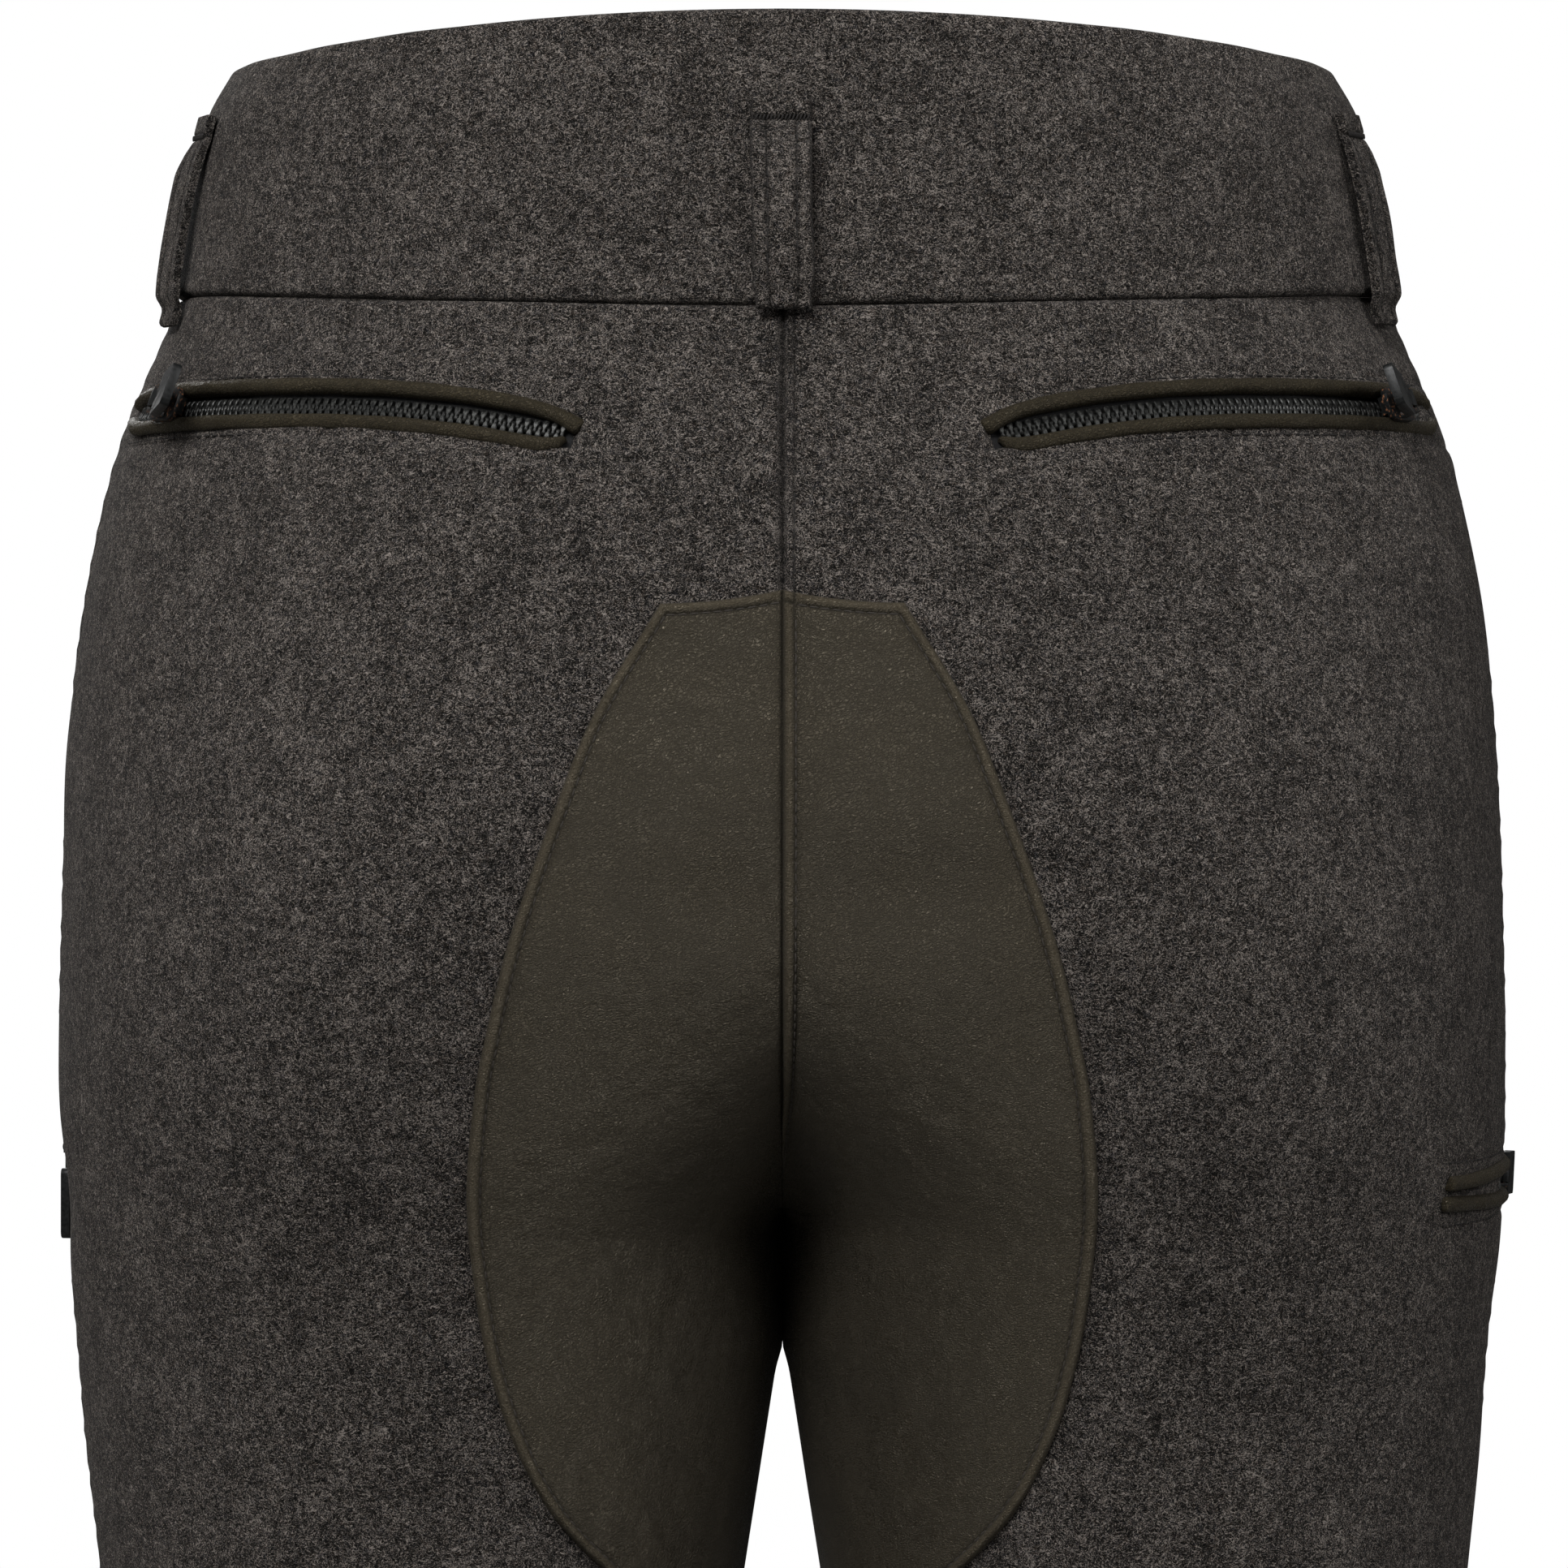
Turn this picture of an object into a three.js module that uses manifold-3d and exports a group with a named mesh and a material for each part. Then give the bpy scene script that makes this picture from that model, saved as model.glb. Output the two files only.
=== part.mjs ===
// Loden trousers with a leather seat, held in the hollow shape they take when worn.
// Millimetres, +Z up. The back of the trousers faces +Y and the front faces -Y, so +X is the wearer's left.
// Height 0 is level with the waistband's top edge at the side seams, and the origin is the waist's centre.
import * as THREE from 'three';
import { mergeVertices } from 'three/addons/utils/BufferGeometryUtils.js';
import Module from 'manifold-3d';

const wasm = await Module();
wasm.setup();

// Materials' own sizes
const AIR = 0.3; // between one sewn piece and the next
const LODEN = 2.0;
const HEM_LODEN = 3.6; // cloth and its turn-up
const HEM_TURN = 30;
const LEATHER = 1.3;
const BAND = 4.0; // waistband, two layers of cloth
const BAND_PROUD = 1.2;
const LOOP = 2.2;

// Overall form
const ROUNDNESS = 2.2; // power of the rounded-ellipse sections
const TURN_POWER = 2 / ROUNDNESS;
const CROTCH = -291; // where the legs' inner walls begin to draw together
const SEAT_TOP = -165; // from here down the section parts into two legs
const WHOLE = 0.03; // least lean of the seat towards the centre seam
const CLEFT = 12; // how softly the two halves of the seat meet
const CLEFT_FROM = -200;
const CLEFT_TO = -270;
const HEM = -1060;

// Waistband edges
const TOP_BACK = 9.2;
const TOP_FRONT = -8;
const FOOT_SIDE = -57.3;
const FOOT_BACK = -6;
const FOOT_FRONT = -1;
const TOP_ROLL = 1.5;

function table(names, rows) {
  return rows.map((row) => Object.fromEntries(names.map((name, i) => [name, row[i]])));
}

// Half-width of the whole garment, each half's deepest line, and the depths before and behind the side seams
const FORM = table(['z', 'outer', 'middle', 'front', 'back'], [
  [12, 131.0, 0, 103, 100],
  [0, 137.2, 0, 105, 102],
  [-14, 144.8, 0, 107, 104.5],
  [-35, 149.0, 0, 110, 108],
  [-58, 153.0, 1, 113, 112],
  [-72, 158.2, 3, 114.5, 115.5],
  [-88, 165.2, 7, 115.5, 120.5],
  [-105, 170.6, 13, 115.5, 125.5],
  [-121, 174.2, 19, 115, 129.5],
  [-138, 177.1, 26, 114, 133],
  [-154, 179.1, 33.5, 113, 135.5],
  [-179, 180.9, 46, 111, 138.5],
  [-210, 182.1, 61, 108, 138],
  [-240, 182.7, 73.5, 105.5, 133],
  [-261, 182.6, 81, 104, 127],
  [-294, 181.0, 88.5, 102, 114.5],
  [-320, 178.3, 90.3, 101, 106.5],
  [-345, 176.2, 91.2, 99.5, 101.5],
  [-379, 172.3, 91.8, 97, 96],
  [-430, 166.8, 92.8, 91.5, 86.5],
  [-500, 161.8, 95.2, 83.5, 76],
  [-570, 159.2, 97.7, 75, 67.5],
  [-640, 158.5, 100.0, 67.5, 60.5],
  [-710, 160.8, 102.6, 59, 65],
  [-780, 163.5, 105.3, 52, 71],
  [-850, 163.3, 107.6, 48.5, 68],
  [-930, 161.2, 110.0, 47.5, 60.5],
  [-1000, 159.0, 112.0, 48.5, 54],
  [-1060, 157.5, 113.5, 50, 50],
]);

// Half the space between the two legs' cloth, by height
const BETWEEN = table(['z', 'inner'], [
  [-287, 2.1],
  [-319, 2.2],
  [-327, 3.3],
  [-335, 4.5],
  [-352, 7.1],
  [-379, 11.3],
  [-430, 18.8],
  [-500, 28.5],
  [-570, 36.3],
  [-640, 41.5],
  [-710, 44.5],
  [-780, 47.0],
  [-850, 52.0],
  [-930, 59.0],
  [-1000, 65.0],
  [-1060, 69.5],
]);

// Heights of a panel's rows, below its top edge
const LEVELS = [
  -74, -91, -113, -140, -168, -195, -219, -238, -254, -265, -273, -279, -283, -286,
  -293, -306, -326, -352, -385, -399, -440, -520, -600, -700, -800, -900, -1000, -1030, -1060,
];
const COLUMNS = { back: 11, front: 9 };
const EVEN_FROM = -254; // the columns are spaced evenly past the crotch between these heights
const EVEN_TO = -326;
const EVEN_POWER = 5;

// Reach of the leather seat from the centre seam, by height
const SEAT = table(['z', 'reach'], [
  [-136.5, 29.4],
  [-164, 45.8],
  [-188, 55.4],
  [-206, 61.9],
  [-223, 67.2],
  [-239, 71.0],
  [-255, 74.2],
  [-281, 76.4],
  [-309, 73.9],
  [-329, 69.7],
  [-344, 64.4],
  [-358, 57.0],
  [-371, 46.0],
  [-384, 32.0],
  [-394, 21.0],
  [-399, 17.5],
]);
const SEAT_ROWS = [-143, -336, -362, -371, -378, -392]; // between the panel's own
const SEAT_SQUEEZE = 0.002; // share of the girth between columns that meet at the patch's edge
const SEAT_AIR = 0.4;
const SEAT_ARCH = 3.2;
const SEAT_ARCH_ENDS = -164;
const SEAT_LEAST = 0.07; // share of the girth left across the lower tip

// Back pockets: the line of the zip, from its inner end to its outer end
const BACK_ZIP = table(['x', 'z'], [
  [46.5, -96.8],
  [58, -93.9],
  [72, -91.1],
  [88, -88.9],
  [104, -87.6],
  [120, -87.0],
  [136, -86.8],
  [150, -86.9],
  [160.5, -87.3],
]);
const [BACK_FROM, BACK_TO] = [BACK_ZIP[0].x, BACK_ZIP[BACK_ZIP.length - 1].x];
const [BACK_INNER_Z, BACK_OUTER_Z] = [-90, -87]; // heights at which its two ends are set out
const BACK_SLIDER_X = 151;
const SLIDER_REACH = 2; // half the length of line that a slider's direction is taken from

// Zip pockets: cross sizes
const WELT_STEPS = 14;
const WELT_INNER = 2.6;
const WELT_WIDTH = 3.4;
const WELT_HEIGHT = 1.2;
const WELT_RIM = { inner: 0.5, outer: 0.4 }; // thickness at a welt's two edges
const SLOT_HALF = 3.0;
const SLOT_END = 3.0; // welts run this far past the slot
const SLOT_DEEP = -5;
const SLOT_HIGH = 3;
const TAPE_HALF = 8;
const TAPE_DEPTH = 3.7; // below the outside of the cloth, clear of its back
const TAPE_THICK = 0.8;
const TAPE_REACH = { back: 2, thigh: 1 }; // in millimetres at the back, in degrees on the thigh
const TAPE_PAST = 2; // reaches by which the tape runs past the slot
const CHAIN_SHORT = 0.25; // and by which the chain stops inside it
const CHAIN_STEP = 0.2;
const CHAIN_HALF = 2.3;
const CHAIN_SIDE = 0.1;
const CHAIN_TOP = 0.1;

// Sliders and pulls
const WING = { length: 12, width: 8.8, height: 1.4, foot: 1.8, round: 2.6 };
const WELD = 0.2; // how far one part of a slider runs into the next
const NECK = { length: 11, width: 4.6, foot: 0.4 };
const PIN_HEIGHT = 5.5;
const PIN_RADIUS = 0.8;
const LUG = { thick: 1.2, inside: 2.5, length: 3, top: 6.6 };
const EYE_RADIUS = 1.9;
const EYE_HOLE = 1.2;
const EYE_HALF = 2.1;
const PULL = { length: 23.5, width: 11, thick: 2.3, neck: 6, neckFrom: 0.8, overlap: 0.6, round: 1.6 };
const ROUND_STEPS = 3;
const ROD_SIDES = 20;

// Thigh pockets, in degrees round from the side seam, + to the back and - to the front
const THIGH = {
  left: { z: -273, from: -10, to: -74, opens: -14, slider: -19, hangs: true },
  right: { z: -279.5, from: 38, to: -46, opens: -10, slider: -14, hangs: false },
};
const THIGH_DROP = 1.5; // the zip's rear end sits this much lower on the right leg
const THIGH_DROP_FULL = 36;
const THIGH_PULL_LIFT = 0.36; // how steeply the right leg's pull stands off the cloth
const THIGH_TAPE_HALF = 6;
const THIGH_SLOT_END = 2; // degrees of welt past the slot

// Belt loops: the strap's stand-off from the band, by how far below the waist it is
const LOOP_WIDTH = 15;
const LOOP_TUCK = 0.7; // each edge is drawn in by this much where it goes under the seam
const LOOP_TUCK_FROM = -60;
const LOOP_HEM_FROM = -30; // the band's own depth is taken up between this height and LOOP_TUCK_FROM
const LOOP_MIDDLE = -40;
const LOOP_LEAST = 0.3;
const LOOP_LINE = table(['z', 'off'], [
  [-14.2, 0.3],
  [-18.6, 0.3],
  [-23, 2.4],
  [-29, 4.6],
  [-37, 5.3],
  [-46, 5.4],
  [-53, 5.2],
  [-58.5, 4.0],
  [-62.5, 2.0],
  [-65.5, 1.5],
]);
// Each loop's turn round from the side seam, how much further off it stands, how far its rear edge is
// drawn in, and whether it reaches below the band
const LOOPS = {
  back: { turn: 90, bulge: 1, twist: 0, low: false },
  left: { turn: 12, bulge: 0.5, twist: 0.9, low: true },
  right: { turn: 17, bulge: 0.45, twist: 0.8, low: true },
  front: { turn: -57, bulge: 1, twist: 0, low: false },
};
const LOOP_TWIST_FULL = 4; // the stand-off at which the whole twist is reached
const LOOP_TURNED_IN = { by: 1.35, from: -59, to: -62 }; // a low loop's foot, drawn in below the band

// Waist button and overlap
const OVERLAP_HALF = 20;
const OVERLAP_LIFT = 4.3;
const OVERLAP_STEP = [14, 2]; // degrees before the lap over which the band rises
const FRONT_HALF_WIDTH = 148; // the waistband's, by which the overlap is turned into degrees
const BUTTON = {
  radius: 9, thick: 3, rim: 1.4, dish: 0.8, edge: 0.8, lip: 0.6,
  hole: 1.0, spread: 2.2, z: -33, x: 6, clear: 0.15,
};
const BUTTON_SIDES = 36;
const BAND_COLUMNS = 54;
const BAND_ROWS = [-36, -15];

const COLOURS = { loden: 0x3b3733, leather: 0x4a4337, metal: 0x1d1d1f, button: 0x2e241c, tape: 0x161616 };

// Monotone curve through the rows of a table, read at one height
function along(rows, name, at, key = 'z') {
  const flip = rows[0][key] > rows[1][key] ? -1 : 1;
  const place = (i) => flip * rows[i][key];
  const spot = flip * at;
  const last = rows.length - 1;
  const slope = (i) => (rows[i + 1][name] - rows[i][name]) / (place(i + 1) - place(i));
  const lean = (i) => {
    if (i === 0) return slope(0);
    if (i === last) return slope(last - 1);
    const before = slope(i - 1);
    const after = slope(i);
    return before * after <= 0 ? 0 : (2 * before * after) / (before + after);
  };
  if (spot <= place(0)) return rows[0][name] + slope(0) * (spot - place(0));
  if (spot >= place(last)) return rows[last][name] + slope(last - 1) * (spot - place(last));
  let k = 0;
  while (spot > place(k + 1)) k += 1;
  const step = place(k + 1) - place(k);
  const s = (spot - place(k)) / step;
  const rise = s * s * (3 - 2 * s);
  const start = s * (1 - s) * (1 - s) * step * lean(k);
  const stop = s * s * (s - 1) * step * lean(k + 1);
  return rows[k][name] * (1 - rise) + rows[k + 1][name] * rise + start + stop;
}

function fade(value, from, to) {
  const s = Math.min(1, Math.max(0, (value - from) / (to - from)));
  return s * s * (3 - 2 * s);
}

// How far the two halves have run together: 1 at the waist, 0 at the crotch
function joined(z) {
  const up = Math.min(1, Math.max(0, (z - CROTCH) / (SEAT_TOP - CROTCH)));
  return 1 - (1 - up ** 1.5) ** 1.5;
}

// One half's level section: an outer and an inner quarter on each side of its deepest line
function section(z) {
  const soft = CLEFT * fade(z, CLEFT_TO, CLEFT_FROM);
  const outer = Math.hypot(along(FORM, 'outer', z), soft);
  const middle = Math.max(0, along(FORM, 'middle', z));
  const between = z > CROTCH ? BETWEEN[0].inner : along(BETWEEN, 'inner', z);
  const one = joined(z);
  return {
    middle,
    outward: outer - middle,
    inward: Math.max(1, middle - between) / Math.max(WHOLE, (1 - one) / (1 + one)),
    front: along(FORM, 'front', z),
    back: along(FORM, 'back', z),
    soft,
  };
}

function power(value, exponent) {
  return Math.sign(value) * Math.abs(value) ** exponent;
}

// A place on the outside of the wearer's left half, at a height and a turn from the side seam
function place(z, turn) {
  const s = section(z);
  const lean = power(Math.cos(turn), TURN_POWER);
  const across = s.middle + lean * (lean > 0 ? s.outward : s.inward);
  const depth = turn >= 0 ? s.back : s.front;
  const x = Math.sqrt(Math.max(0, across * across - s.soft * s.soft));
  return new THREE.Vector3(x, depth * power(Math.sin(turn), TURN_POWER), z);
}

// Below 0 inside the form and above 0 outside it
function form(x, y, z) {
  const s = section(z);
  const off = Math.hypot(x, s.soft) - s.middle;
  const across = off > 0 ? off / s.outward : -off / s.inward;
  const depth = Math.abs(y) / (y >= 0 ? s.back : s.front);
  return across ** ROUNDNESS + depth ** ROUNDNESS - 1;
}

function outward(p) {
  const h = 0.02;
  const rise = 0.8;
  return new THREE.Vector3(
    (form(p.x + h, p.y, p.z) - form(p.x - h, p.y, p.z)) / (2 * h),
    (form(p.x, p.y + h, p.z) - form(p.x, p.y - h, p.z)) / (2 * h),
    (form(p.x, p.y, p.z + rise) - form(p.x, p.y, p.z - rise)) / (2 * rise),
  ).normalize();
}

// The turn at which the outside reaches a given distance from the centre plane
function turnAt(z, x) {
  const s = section(z);
  const off = Math.hypot(x, s.soft) - s.middle;
  const lean = off > 0 ? off / s.outward : off / s.inward;
  return Math.acos(power(Math.max(-1, Math.min(1, lean)), 1 / TURN_POWER));
}

function turnOfDepth(z, y, isBack) {
  const s = section(z);
  return Math.asin((y / (isBack ? s.back : s.front)) ** (1 / TURN_POWER));
}

// A panel's two seams at one height, and its girth from the side seam to each of many turns between them
function girth(z, facing) {
  const first = turnOfDepth(z, AIR / 2, facing > 0);
  const last = Math.min(turnAt(z, AIR / 2), Math.PI - first);
  const count = 240;
  const turns = Array.from({ length: count + 1 }, (_, i) => {
    const s = i / count;
    return first + (last - first) * (1 - (1 - s) ** 2);
  });
  const points = turns.map((turn) => place(z, facing * turn));
  const run = [0];
  for (let i = 1; i <= count; i += 1) {
    run.push(run[i - 1] + points[i].distanceTo(points[i - 1]));
  }
  return { turns, run, whole: run[count], even: run[count] };
}

// The same with a girth that changes evenly past the crotch, by which the columns are spaced
const ABOVE = { 1: girth(EVEN_FROM, 1).whole, '-1': girth(EVEN_FROM, -1).whole };
const BELOW = { 1: girth(EVEN_TO, 1).whole, '-1': girth(EVEN_TO, -1).whole };

function fabric(z, facing) {
  const found = girth(z, facing);
  if (z < EVEN_FROM && z > EVEN_TO) {
    const share = (z - EVEN_FROM) / (EVEN_TO - EVEN_FROM);
    found.even = ABOVE[facing] + (BELOW[facing] - ABOVE[facing]) * share;
  }
  return found;
}

function read(from, to, value) {
  let k = 1;
  while (k < from.length - 1 && from[k] < value) k += 1;
  const share = (value - from[k - 1]) / (from[k] - from[k - 1]);
  return to[k - 1] + (to[k] - to[k - 1]) * Math.min(1, Math.max(0, share));
}

function turnOfShare({ turns, run, whole, even }, share) {
  return read(run, turns, share * even + share ** EVEN_POWER * (whole - even));
}

function shareOfTurn(found, turn) {
  let low = 0;
  let high = 1;
  for (let pass = 0; pass < 30; pass += 1) {
    const middle = (low + high) / 2;
    if (turnOfShare(found, middle) < turn) low = middle;
    else high = middle;
  }
  return low;
}

function moved(z, turn, out) {
  const p = place(z, turn);
  return p.clone().addScaledVector(outward(p), out);
}

function mirrored(points, side) {
  if (side > 0) return points;
  return points.map((row) => row.map((p) => new THREE.Vector3(-p.x, p.y, p.z)));
}

// A closed sheet between two grids of points
function slab(over, under, side = 1) {
  const top = mirrored(over, side);
  const low = mirrored(under, side);
  const rows = top.length;
  const cols = top[0].length;
  const points = [];
  for (let i = 0; i < rows; i += 1) {
    points.push(...top[i], ...[...low[i]].reverse());
  }
  const ring = 2 * cols;
  const faces = [];
  const quad = (a, b, c, d) => faces.push([a, b, c], [a, c, d]);
  for (let i = 0; i < rows - 1; i += 1) {
    for (let j = 0; j < ring; j += 1) {
      const next = (j + 1) % ring;
      const corners = [i * ring + j, i * ring + next, (i + 1) * ring + next, (i + 1) * ring + j];
      // both faces of the sheet fold along the same diagonals
      quad(...(j < cols ? corners : [...corners.slice(1), corners[0]]));
    }
  }
  const end = (rows - 1) * ring;
  for (let j = 0; j < cols - 1; j += 1) {
    quad(j, ring - 1 - j, ring - 2 - j, j + 1);
    quad(end + j + 1, end + ring - 2 - j, end + ring - 1 - j, end + j);
  }
  let volume = 0;
  for (const [a, b, c] of faces) {
    volume += points[a].dot(points[b].clone().cross(points[c]));
  }
  const index = faces.flatMap(([a, b, c]) => (volume > 0 ? [a, b, c] : [a, c, b]));
  const geometry = new THREE.BufferGeometry();
  geometry.setAttribute('position', new THREE.Float32BufferAttribute(points.flatMap((p) => p.toArray()), 3));
  geometry.setIndex(index);
  return geometry;
}

function toManifold(geometry) {
  const bare = geometry.clone();
  bare.deleteAttribute('normal');
  bare.deleteAttribute('uv');
  const whole = mergeVertices(bare, 1e-4);
  const mesh = new wasm.Mesh({
    numProp: 3,
    vertProperties: new Float32Array(whole.attributes.position.array),
    triVerts: new Uint32Array(whole.index.array),
  });
  return new wasm.Manifold(mesh);
}

function toGeometry(manifold) {
  const mesh = manifold.getMesh();
  const geometry = new THREE.BufferGeometry();
  geometry.setAttribute('position', new THREE.Float32BufferAttribute(mesh.vertProperties, 3));
  geometry.setIndex(Array.from(mesh.triVerts));
  return geometry;
}

function joinAll(parts) {
  return parts.map(toManifold).reduce((a, b) => a.add(b));
}

const group = new THREE.Group();
group.name = 'loden_trousers';

function addPart(name, geometry, colour, finish = {}) {
  geometry.computeVertexNormals();
  const material = new THREE.MeshStandardMaterial({ color: colour, roughness: 0.9, ...finish });
  const mesh = new THREE.Mesh(geometry, material);
  mesh.name = name;
  group.add(mesh);
}

// Waistband edges, by turn round the waist
function atMiddle(turn) {
  return 1 - Math.abs(Math.cos(turn)) ** (2 * TURN_POWER);
}

function bandTop(turn) {
  return (Math.sin(turn) >= 0 ? TOP_BACK : TOP_FRONT) * atMiddle(turn);
}

function bandFoot(turn) {
  return FOOT_SIDE + (Math.sin(turn) >= 0 ? FOOT_BACK : FOOT_FRONT) * atMiddle(turn);
}

// Leg and seat panels
function panelGrid(facing) {
  const columns = facing > 0 ? COLUMNS.back : COLUMNS.front;
  const over = [];
  const under = [];
  const heights = [FOOT_SIDE + (facing > 0 ? FOOT_BACK : FOOT_FRONT) - AIR, ...LEVELS];
  heights.forEach((level, i) => {
    const found = fabric(level, facing);
    const thick = level <= HEM + HEM_TURN ? HEM_LODEN : LODEN;
    const outerRow = [];
    const innerRow = [];
    for (let j = 0; j <= columns; j += 1) {
      const free = turnOfShare(found, j / columns);
      const z = i === 0 ? bandFoot(facing * free) - AIR : level;
      const turn = facing * Math.min(free, turnAt(z, AIR / 2));
      outerRow.push(moved(z, turn, 0));
      innerRow.push(moved(z, turn, -thick));
    }
    over.push(outerRow);
    under.push(innerRow);
  });
  return [over, under];
}

// A strip on the cloth: frames along a line of places, and points set out across and above them
function frames(spots) {
  const points = spots.map(([z, turn]) => place(z, turn));
  return points.map((p, i) => {
    const before = points[Math.max(0, i - 1)];
    const after = points[Math.min(points.length - 1, i + 1)];
    const up = outward(p);
    const ahead = after.clone().sub(before);
    ahead.addScaledVector(up, -ahead.dot(up)).normalize();
    const across = up.clone().cross(ahead);
    if (across.z < 0) across.negate();
    return { p, up, ahead, across };
  });
}

function set(frame, across, up) {
  return frame.p.clone().addScaledVector(frame.across, across).addScaledVector(frame.up, up);
}

function strip(line, upper, lower, side) {
  const over = line.map((f) => upper.map(([a, h]) => set(f, a, h)));
  const under = line.map((f) => lower.map(([a, h]) => set(f, a, h)));
  return slab(over, under, side);
}

function spaced(from, to, count) {
  return Array.from({ length: count + 1 }, (_, i) => from + ((to - from) * i) / count);
}

function backSpots(from, to, count) {
  return spaced(turnAt(BACK_INNER_Z, from), turnAt(BACK_OUTER_Z, to), count).map((turn) => {
    let z = (BACK_INNER_Z + BACK_OUTER_Z) / 2;
    for (let pass = 0; pass < 4; pass += 1) {
      z = along(BACK_ZIP, 'z', place(z, turn).x, 'x');
    }
    return [z, turn];
  });
}

function thighSpots(pocket, from, to, count) {
  return spaced(from, to, count).map((degrees) => {
    const z = pocket.z - THIGH_DROP * fade(degrees, 0, THIGH_DROP_FULL);
    return [z, THREE.MathUtils.degToRad(degrees)];
  });
}

function weltShape(sign) {
  const near = WELT_INNER;
  const far = WELT_INNER + WELT_WIDTH;
  const top = AIR + WELT_HEIGHT;
  const upper = [[near, AIR + WELT_RIM.inner], [(near + far) / 2, top], [far, AIR + WELT_RIM.outer]];
  const lower = [[near, AIR], [(near + far) / 2, AIR], [far, AIR]];
  const turn = (points) => points.map(([a, h]) => [sign * a, h]);
  return [turn(upper), turn(lower)];
}

function zipShape(raised, half) {
  const tape = -TAPE_DEPTH;
  const crown = raised ? CHAIN_TOP : tape + CHAIN_SIDE / 2;
  const foot = CHAIN_HALF + CHAIN_SIDE;
  const upper = [
    [-half, tape], [-foot, tape], [-CHAIN_HALF, crown], [CHAIN_HALF, crown], [foot, tape], [half, tape],
  ];
  const lower = upper.map(([a]) => [a, tape - TAPE_THICK]);
  return [upper, lower];
}

function zip(line, half, side) {
  const last = line.length - 1;
  const over = [];
  const under = [];
  line.forEach((f, i) => {
    const raised = i > 1 && i < last - 1;
    const [upper, lower] = zipShape(raised, half);
    over.push(upper.map(([a, h]) => set(f, a, h)));
    under.push(lower.map(([a, h]) => set(f, a, h)));
  });
  return slab(over, under, side);
}

function slotCutter(line, side) {
  const level = (height) => [[-SLOT_HALF, height], [SLOT_HALF, height]];
  return strip(line, level(SLOT_HIGH), level(SLOT_DEEP), side);
}

// Zip slider and pull, set out along the zip (x), across it (y) and above the cloth (z)
function block(length, width, height, x, y, z) {
  const geometry = new THREE.BoxGeometry(length, width, height);
  geometry.translate(x, y, z);
  return geometry;
}

function plate(length, width, height, round) {
  const shape = new THREE.Shape();
  const l = length / 2;
  const w = width / 2;
  shape.moveTo(-l + round, -w);
  shape.lineTo(l - round, -w);
  shape.quadraticCurveTo(l, -w, l, -w + round);
  shape.lineTo(l, w - round);
  shape.quadraticCurveTo(l, w, l - round, w);
  shape.lineTo(-l + round, w);
  shape.quadraticCurveTo(-l, w, -l, w - round);
  shape.lineTo(-l, -w + round);
  shape.quadraticCurveTo(-l, -w, -l + round, -w);
  return new THREE.ExtrudeGeometry(shape, { depth: height, bevelEnabled: false, curveSegments: ROUND_STEPS });
}

function rod(radius, length) {
  return new THREE.CylinderGeometry(radius, radius, length, ROD_SIDES);
}

function sliderSolid(hangs) {
  const wing = plate(WING.length, WING.width, WING.height, WING.round);
  wing.translate(0, 0, WING.foot);
  const neckTop = WING.foot + WELD;
  const neck = block(NECK.length, NECK.width, neckTop - NECK.foot, 0, 0, (neckTop + NECK.foot) / 2);
  const foot = WING.foot + WING.height - WELD;
  const lugs = [-1, 1].map((sign) => {
    const y = sign * (LUG.inside + LUG.thick / 2);
    return block(LUG.length, LUG.thick, LUG.top - foot, 0, y, (LUG.top + foot) / 2);
  });
  const pin = rod(PIN_RADIUS, 2 * LUG.inside + LUG.thick);
  pin.translate(0, 0, PIN_HEIGHT);
  const loop = [...lugs, pin];
  if (hangs) {
    loop.forEach((piece) => piece.rotateZ(Math.PI / 2));
  }
  return toGeometry(joinAll([wing, neck, ...loop]));
}

// The pull, pointing along its own +x from its pin
function pullSolid() {
  const eye = rod(EYE_RADIUS, 2 * EYE_HALF);
  const neck = block(PULL.neck, 2 * EYE_HALF, PULL.thick, PULL.neck / 2 + PULL.neckFrom, 0, 0);
  const bodyLength = PULL.length - PULL.neck + PULL.overlap;
  const body = plate(bodyLength, PULL.width, PULL.thick, PULL.round);
  body.translate(PULL.length - bodyLength / 2, 0, -PULL.thick / 2);
  const whole = joinAll([eye, neck, body]);
  return toGeometry(whole.subtract(toManifold(rod(EYE_HOLE, 4 * EYE_HALF))));
}

function laidOut(geometry, frame, direction, side) {
  const ahead = frame.ahead.clone().multiplyScalar(direction);
  const basis = new THREE.Matrix4().makeBasis(ahead, frame.up.clone().cross(ahead), frame.up);
  basis.setPosition(frame.p);
  const out = geometry.clone().applyMatrix4(basis);
  if (side < 0) {
    out.applyMatrix4(new THREE.Matrix4().makeScale(-1, 1, 1));
    out.setIndex(Array.from(out.index.array).reverse());
  }
  return out;
}

// Sets a pull on its pin, pointing the way it lies when the trousers stand still
function pullLaid(frame, pinAxis, toward, side) {
  const pin = frame.p.clone().addScaledVector(frame.up, PIN_HEIGHT);
  const point = toward.clone().addScaledVector(pinAxis, -toward.dot(pinAxis)).normalize();
  const basis = new THREE.Matrix4().makeBasis(point, pinAxis, point.clone().cross(pinAxis));
  basis.setPosition(pin);
  const out = pullSolid().applyMatrix4(basis);
  if (side < 0) {
    out.applyMatrix4(new THREE.Matrix4().makeScale(-1, 1, 1));
    out.setIndex(Array.from(out.index.array).reverse());
  }
  return out;
}

const BACK_PULL_WAY = new THREE.Vector3(-0.16, 0.987, 0); // backward and a little to the centre
const DOWN = new THREE.Vector3(0, 0, -1);
const METAL = { roughness: 0.4, metalness: 0.8 };

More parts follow.
